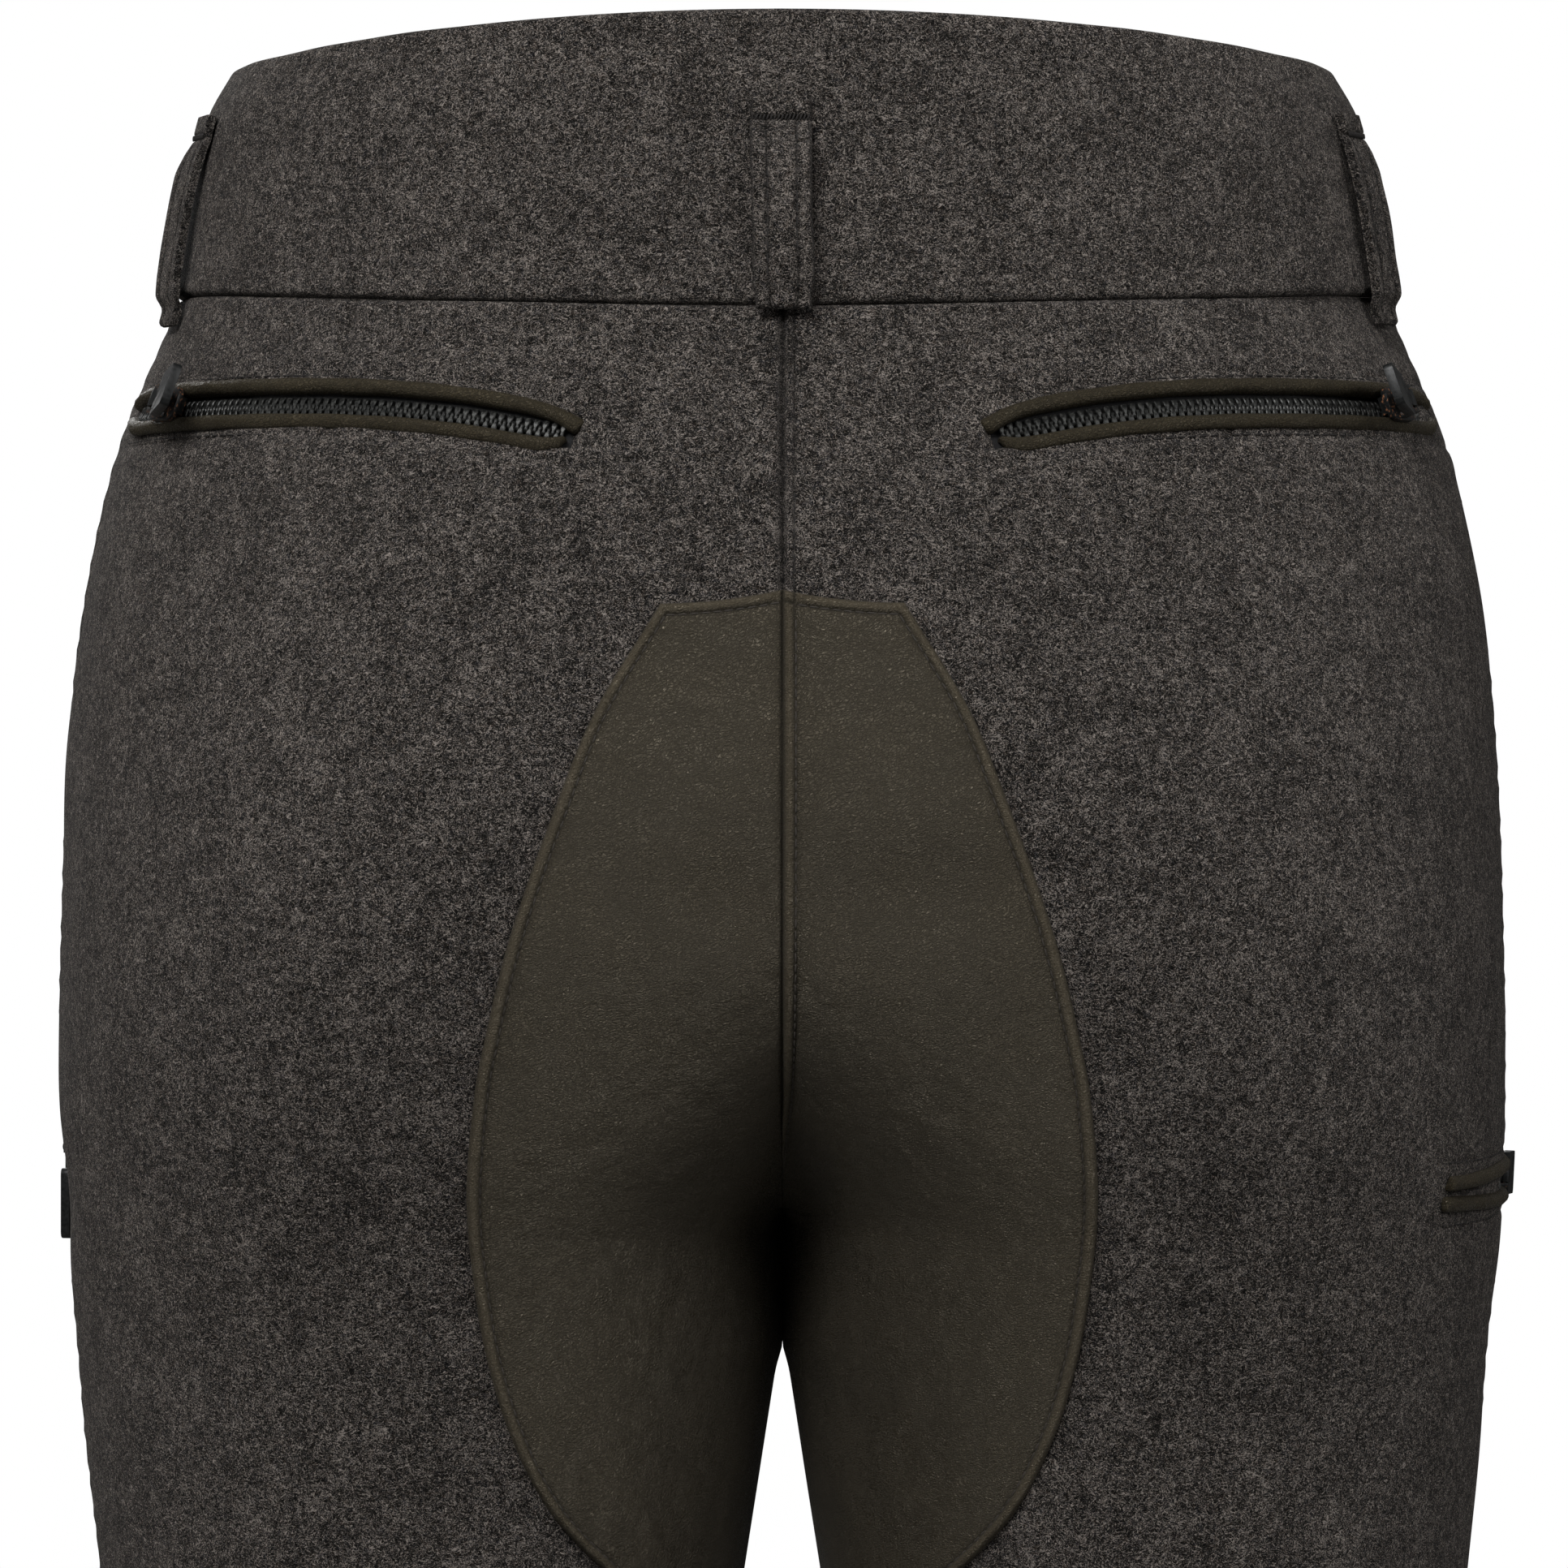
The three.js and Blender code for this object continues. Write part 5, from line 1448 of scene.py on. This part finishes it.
def loden_finish(name):
    material, w, shader, mm = new_finish(name, **{
        "Roughness": 0.95, "Specular IOR Level": 0.06, "Sheen Weight": 0.05, "Sheen Roughness": 0.55,
        "Sheen Tint": (0.75, 0.72, 0.7, 1), "Diffuse Roughness": 0.8,
    })
    colours = bpy.context.scene.loden_trousers
    fibres = grouped(w, fibre_group(), {
        "Millimetres": mm, "Dark": (*colours.cloth_dark, 1), "Middle": (*colours.cloth_middle, 1),
        "Light": (*colours.cloth_light, 1), "Brown": (*colours.cloth_brown, 1),
        "Blue": (*colours.cloth_blue, 1),
    })
    # Painted shade: the cloth darkens towards its darkest fibre colour along seams, stitch rows, darts and
    # loop edges
    push_and_painted_shade = w.add("Attribute", attribute_name="push_and_painted_shade").outputs["Fac"]
    shaded = w.mix(w.math("MULTIPLY", push_and_painted_shade, 0.8), fibres["Color"], colours.cloth_dark)
    w.tree.links.new(shaded, shader.inputs["Base Color"])
    bumped(w, shader, fibres["Height"], 0.24)
    return material


def leather_finish(name):
    trim = name != "leather"
    material, w, shader, mm = new_finish(name, **{
        "Specular IOR Level": 0.35 if trim else 0.78, "Roughness": 0.5, "Specular Tint": (1, 0.89, 0.70, 1),
    })
    colours = bpy.context.scene.loden_trousers
    grain = grouped(w, grain_group(), {
        "Millimetres": mm, "Pebble": 0.9 if trim else 1.0, "Wrinkles": 0.4 if trim else 1.0,
    })
    base = colours.trim_colour if trim else colours.leather_colour
    deep = tuple(c * 0.42 for c in base)
    pale = tuple(c * 1.5 for c in base)
    colour = w.mix(w.ramp(grain["Blotches"], 0.35, 0.68), base, pale)
    colour = w.mix(w.math("MULTIPLY", grain["Creases"], 0.9), colour, deep)
    # The leather is lighter along the crests of its rolled edges
    lighter_crests = w.add("Attribute", attribute_name="lighter_crests").outputs["Fac"]
    colour = w.mix(w.math("MULTIPLY", lighter_crests, 0.8), colour, tuple(c * 2.6 for c in base))
    # Painted shade: the leather darkens to a tenth of its colour in the stitch grooves and at the centre seam,
    # and is rougher there
    push_and_painted_shade = w.add("Attribute", attribute_name="push_and_painted_shade").outputs["Fac"]
    colour = w.mix(w.math("MULTIPLY", push_and_painted_shade, 0.95), colour, tuple(c * 0.1 for c in base))
    w.tree.links.new(colour, shader.inputs["Base Color"])
    rough = w.ramp(grain["Blotches"], 0.3, 0.7, 0.35, 0.43)
    rough = w.math("ADD", rough, w.math("MULTIPLY", grain["Creases"], 0.45), clamp=True)
    rough = w.math("ADD", rough, w.math("MULTIPLY", push_and_painted_shade, 0.4), clamp=True)
    w.tree.links.new(rough, shader.inputs["Roughness"])
    bumped(w, shader, grain["Height"], 0.24)
    return material


def thread_finish(name):
    colours = bpy.context.scene.loden_trousers
    base = colours.thread_dark if name == "thread_dark" else colours.thread_colour
    material, w, shader, mm = new_finish(name, **{"Roughness": 0.7, "Specular IOR Level": 0.3})
    ribs = grouped(w, twist_group(), {"Millimetres": mm, "Ribs": 1.6})
    colour = w.mix(ribs["Rib"], tuple(c * 0.55 for c in base), tuple(c * 1.2 for c in base))
    colour = w.mix(w.ramp(ribs["Mottle"], 0.4, 0.7, 0, 0.4), colour, tuple(c * 0.7 for c in base))
    w.tree.links.new(colour, shader.inputs["Base Color"])
    bumped(w, shader, ribs["Rib"], 0.05)
    return material


def tape_finish(name):
    material, w, shader, mm = new_finish(name, **{"Roughness": 0.85, "Specular IOR Level": 0.25})
    ribs = grouped(w, twist_group(), {"Millimetres": mm, "Ribs": 0.9})
    colour = w.mix(ribs["Rib"], (0.004, 0.004, 0.004), (0.014, 0.014, 0.015))
    colour = w.mix(w.ramp(ribs["Mottle"], 0.45, 0.7, 0, 0.5), colour, (0.02, 0.019, 0.019))
    w.tree.links.new(colour, shader.inputs["Base Color"])
    bumped(w, shader, ribs["Rib"], 0.08)
    return material


def teeth_finish(name):
    material, w, shader, mm = new_finish(name, **{
        "Metallic": 0.6, "Specular IOR Level": 0.4, "Roughness": 0.35,
    })
    worn = w.noise(mm, 1.4, 3.0, 0.6).outputs[0]
    colour = w.mix(w.ramp(worn, 0.42, 0.7), (0.010, 0.0105, 0.010), (0.045, 0.045, 0.042))
    w.tree.links.new(colour, shader.inputs["Base Color"])
    w.tree.links.new(w.ramp(worn, 0.3, 0.7, 0.28, 0.46), shader.inputs["Roughness"])
    bumped(w, shader, w.noise(mm, 6.0, 2.0).outputs[0], 0.03)
    return material


def slider_finish(name):
    material, w, shader, mm = new_finish(name, **{
        "Metallic": 0.1, "Specular IOR Level": 0.22, "Roughness": 0.42,
    })
    wear = w.add("Attribute", attribute_name="wear").outputs["Fac"]
    speckle = w.noise(mm, 1.1, 4.0, 0.65).outputs[0]
    # Copper shows where the black finish is worn off the bevelled edges
    lighter_crests = w.math("MULTIPLY", w.ramp(wear, 0.55, 1.0), w.ramp(speckle, 0.56, 0.66))
    colour = w.mix(w.ramp(speckle, 0.35, 0.65), (0.0045, 0.005, 0.005), (0.009, 0.0095, 0.0095))
    colour = w.mix(lighter_crests, colour, (0.20, 0.085, 0.04))
    w.tree.links.new(colour, shader.inputs["Base Color"])
    w.tree.links.new(w.ramp(speckle, 0.3, 0.7, 0.3, 0.44), shader.inputs["Roughness"])
    bumped(w, shader, speckle, 0.03)
    return material


def horn_finish(name):
    material, w, shader, mm = new_finish(name, **{
        "Roughness": 0.3, "Coat Weight": 0.3, "Coat Roughness": 0.15,
    })
    streak = w.noise(w.vector("MULTIPLY", mm, (0.12, 0.5, 0.9)), 1.0, 4.0, 0.6, 1.5).outputs[0]
    colour = w.mix(w.ramp(streak, 0.35, 0.68), (0.016, 0.009, 0.006), (0.085, 0.045, 0.024))
    w.tree.links.new(colour, shader.inputs["Base Color"])
    w.tree.links.new(w.ramp(streak, 0.3, 0.7, 0.24, 0.4), shader.inputs["Roughness"])
    bumped(w, shader, streak, 0.04)
    return material


FINISH_MAKERS = {
    "loden": loden_finish, "leather": leather_finish, "leather_trim": leather_finish,
    "thread": thread_finish, "thread_dark": thread_finish, "zip_tape": tape_finish,
    "zip_teeth": teeth_finish, "slider_metal": slider_finish, "horn": horn_finish,
}


def finish(name):
    """The finish of that name, made once."""
    if name not in FINISHES:
        FINISHES[name] = FINISH_MAKERS[name](name)
    return FINISHES[name]


# Stage, in metres
CAMERA = (-0.0004, 2.6, -0.18)
FLOOR_FADES = (0.9, 2.6)  # how far out the floor turns into the white of the room
FLOOR_THROWS = (0.18, 0.18, 0.175)  # how much of the light the floor throws back up
ROOM_LIGHT = (0.02, 0.32)  # the room's own light, from below and from above
LIGHTS = (
    ("key_softbox", (0.8, 2.3, 1.6), (0, 0.1, -0.22), (1.4, 1.0), 92),
    ("fill_softbox", (-1.7, 2.0, 1.0), (0, 0.1, -0.25), (1.2, 1.2), 26),
    ("front_softbox", (0.6, -2.6, 1.2), (0, -0.1, -0.4), (1.8, 1.4), 46),
    ("left_strip", (2.2, 0.4, 0.2), (0, 0, -0.3), (0.7, 1.8), 10),
    ("right_strip", (-2.2, 0.3, 0.2), (0, 0, -0.3), (0.7, 1.8), 8),
)
FLOOR_RADIUS, FLOOR_BELOW = 5.5, 0.0015


def make_stage():
    scene = bpy.context.scene
    under = (0, 0, CAD_BOX[0].z - FLOOR_BELOW)
    bpy.ops.mesh.primitive_circle_add(vertices=96, radius=FLOOR_RADIUS, fill_type="NGON", location=under)
    floor = bpy.context.object
    floor.name = "pale_floor"
    material, w, shader, mm = new_finish("pale_floor", **{"Roughness": 0.8, "Specular IOR Level": 0.2})
    tone = w.mix(w.noise(mm, 0.004, 2.0).outputs[0], (0.62, 0.62, 0.62), (0.66, 0.66, 0.655))
    seen = w.add("LightPath").outputs["Is Camera Ray"]
    out = w.add("VectorMath", {0: w.add("TexCoord").outputs["Object"]}, operation="LENGTH").outputs["Value"]
    far = w.ramp(out, *FLOOR_FADES)
    thrown = w.mix(seen, FLOOR_THROWS, w.mix(far, tone, (0, 0, 0)))
    w.tree.links.new(thrown, shader.inputs["Base Color"])
    glow = w.mix(w.math("MULTIPLY", far, seen), (0, 0, 0), (1, 1, 1))
    w.tree.links.new(glow, shader.inputs["Emission Color"])
    shader.inputs["Emission Strength"].default_value = 1.0
    floor.data.materials.append(material)

    world = bpy.data.worlds.new("studio")
    scene.world = world
    world.use_nodes = True
    tree = world.node_tree
    tree.nodes.clear()
    w = Wiring(tree)
    seen = w.add("Background", {"Color": (1, 1, 1, 1), "Strength": 1.0})
    way = w.add("SeparateXYZ", {0: w.add("TexCoord").outputs["Generated"]}).outputs[2]
    strength = w.ramp(way, -0.15, 0.9, *ROOM_LIGHT)
    lit = w.add("Background", {"Color": (1, 0.995, 0.985, 1), "Strength": strength})
    to_camera = w.add("LightPath").outputs["Is Camera Ray"]
    both = w.add("MixShader", {0: to_camera, 1: lit.outputs[0], 2: seen.outputs[0]})
    surface = w.add("OutputWorld")
    tree.links.new(both.outputs[0], surface.inputs[0])

    for name, where, aim, size, watts in LIGHTS:
        data = bpy.data.lights.new(name, "AREA")
        data.shape, data.size, data.size_y, data.energy = "RECTANGLE", size[0], size[1], watts
        lamp = bpy.data.objects.new(name, data)
        scene.collection.objects.link(lamp)
        lamp.location = where
        lamp.rotation_euler = (Vector(aim) - Vector(where)).to_track_quat("-Z", "Y").to_euler()

    data = bpy.data.cameras.new("camera")
    data.lens, data.sensor_width = scene.loden_trousers.lens, 36
    data.clip_start, data.clip_end = 0.05, 60
    camera = bpy.data.objects.new("camera", data)
    scene.collection.objects.link(camera)
    camera.location = CAMERA
    camera.rotation_euler = (math.radians(90), 0, math.radians(180))
    scene.camera = camera
    scene.view_settings.view_transform = "Standard"
    scene.view_settings.look = "None"


# Settings and operators
def colour_setting(name, words, value):
    return bpy.props.FloatVectorProperty(name=name, description=words, subtype="COLOR", size=3, default=value)


class LodenTrousersSettings(bpy.types.PropertyGroup):
    """Sizes and colours that a user of the trousers may want to change."""

    lens: bpy.props.FloatProperty(
        name="Lens", description="The camera's focal length", default=235.5, min=20, unit="CAMERA"
    )
    button_radius: bpy.props.FloatProperty(
        name="Button radius", description="The waist button's radius", default=0.009, min=0.005, max=0.014,
        unit="LENGTH"
    )
    button_thickness: bpy.props.FloatProperty(
        name="Button thickness", description="The waist button's thickness", default=0.003, min=0.0015,
        max=0.005, unit="LENGTH"
    )
    # Also the colour of the shade painted along the cloth's seams and stitch rows
    cloth_dark: colour_setting("Cloth, dark", "Deep between the cloth's fibres", (0.0018, 0.0015, 0.0012))
    cloth_middle: colour_setting("Cloth, middle", "Most of the cloth's fibres", (0.0202, 0.0176, 0.0156))
    cloth_light: colour_setting("Cloth, light", "The palest fibres", (0.223, 0.197, 0.177))
    cloth_brown: colour_setting("Cloth, brown", "Brown fibres", (0.034, 0.0235, 0.0165))
    cloth_blue: colour_setting("Cloth, blue", "Blue-grey fibres", (0.0175, 0.0188, 0.0235))
    leather_colour: colour_setting("Leather", "The leather seat", (0.0115, 0.0088, 0.0050))
    trim_colour: colour_setting("Leather trim", "The pockets' leather welts", (0.0190, 0.0150, 0.0082))
    thread_colour: colour_setting("Thread", "Stitching on the leather", (0.040, 0.034, 0.028))
    thread_dark: colour_setting("Dark thread", "Stitching on the cloth", (0.016, 0.014, 0.013))


class TROUSERS_OT_panels(bpy.types.Operator):
    """Make the four cloth panels, with their seams, darts and folds"""

    bl_idname = "trousers.panels"
    bl_label = "Loden panels"

    def execute(self, context):
        make_panels()
        return {"FINISHED"}


class TROUSERS_OT_waistband(bpy.types.Operator):
    """Make the deep waistband and its lap at the front"""

    bl_idname = "trousers.waistband"
    bl_label = "Waistband"

    def execute(self, context):
        make_waistband()
        return {"FINISHED"}


class TROUSERS_OT_belt_loops(bpy.types.Operator):
    """Make the five belt loops"""

    bl_idname = "trousers.belt_loops"
    bl_label = "Belt loops"

    def execute(self, context):
        make_belt_loops()
        return {"FINISHED"}


class TROUSERS_OT_leather_seat(bpy.types.Operator):
    """Make the seat's two halves, with folded edges"""

    bl_idname = "trousers.leather_seat"
    bl_label = "Leather seat"

    def execute(self, context):
        make_leather_seat()
        return {"FINISHED"}


class TROUSERS_OT_welts(bpy.types.Operator):
    """Make the leather welts of the four zip pockets"""

    bl_idname = "trousers.welts"
    bl_label = "Pocket welts"

    def execute(self, context):
        make_welts()
        return {"FINISHED"}


class TROUSERS_OT_zips(bpy.types.Operator):
    """Make the tapes and teeth of the four zips"""

    bl_idname = "trousers.zips"
    bl_label = "Zips"

    def execute(self, context):
        make_zips()
        return {"FINISHED"}


class TROUSERS_OT_sliders(bpy.types.Operator):
    """Make the zips' sliders and their swinging pulls"""

    bl_idname = "trousers.sliders"
    bl_label = "Sliders and pulls"

    def execute(self, context):
        make_sliders()
        return {"FINISHED"}


class TROUSERS_OT_button(bpy.types.Operator):
    """Make the four-hole button and its thread"""

    bl_idname = "trousers.button"
    bl_label = "Waist button"

    def execute(self, context):
        make_button()
        return {"FINISHED"}


class TROUSERS_OT_stitching(bpy.types.Operator):
    """Make the rows of stitches"""

    bl_idname = "trousers.stitching"
    bl_label = "Stitching"

    def execute(self, context):
        make_stitching()
        return {"FINISHED"}


class TROUSERS_OT_sheets(bpy.types.Operator):
    """Does nothing; no cut sizes are stated"""

    bl_idname = "trousers.sheets"
    bl_label = "Cut sizes"

    def execute(self, context):
        return {"FINISHED"}


class TROUSERS_OT_stage(bpy.types.Operator):
    """Make the floor, lights and camera"""

    bl_idname = "trousers.stage"
    bl_label = "Stage"

    def execute(self, context):
        make_stage()
        return {"FINISHED"}


OPERATORS = [
    TROUSERS_OT_panels,
    TROUSERS_OT_waistband,
    TROUSERS_OT_belt_loops,
    TROUSERS_OT_leather_seat,
    TROUSERS_OT_welts,
    TROUSERS_OT_zips,
    TROUSERS_OT_sliders,
    TROUSERS_OT_button,
    TROUSERS_OT_stitching,
    TROUSERS_OT_sheets,
    TROUSERS_OT_stage,
]


class TROUSERS_PT_sidebar(bpy.types.Panel):
    """Lists the trousers' settings and the steps that make them."""

    bl_label = "Loden trousers"
    bl_idname = "TROUSERS_PT_sidebar"
    bl_space_type = "VIEW_3D"
    bl_region_type = "UI"
    bl_category = "Trousers"

    def draw(self, context):
        for name in LodenTrousersSettings.__annotations__:
            self.layout.prop(context.scene.loden_trousers, name)
        for operator in OPERATORS:
            self.layout.operator(operator.bl_idname)


CLASSES = [LodenTrousersSettings, *OPERATORS, TROUSERS_PT_sidebar]


def register():
    for each in CLASSES:
        bpy.utils.register_class(each)
    bpy.types.Scene.loden_trousers = bpy.props.PointerProperty(type=LodenTrousersSettings)


def unregister():
    del bpy.types.Scene.loden_trousers
    for each in reversed(CLASSES):
        bpy.utils.unregister_class(each)


def main():
    register()
    for operator in OPERATORS:
        family, name = operator.bl_idname.split(".")
        getattr(getattr(bpy.ops, family), name)()


if __name__ == "__main__":
    main()
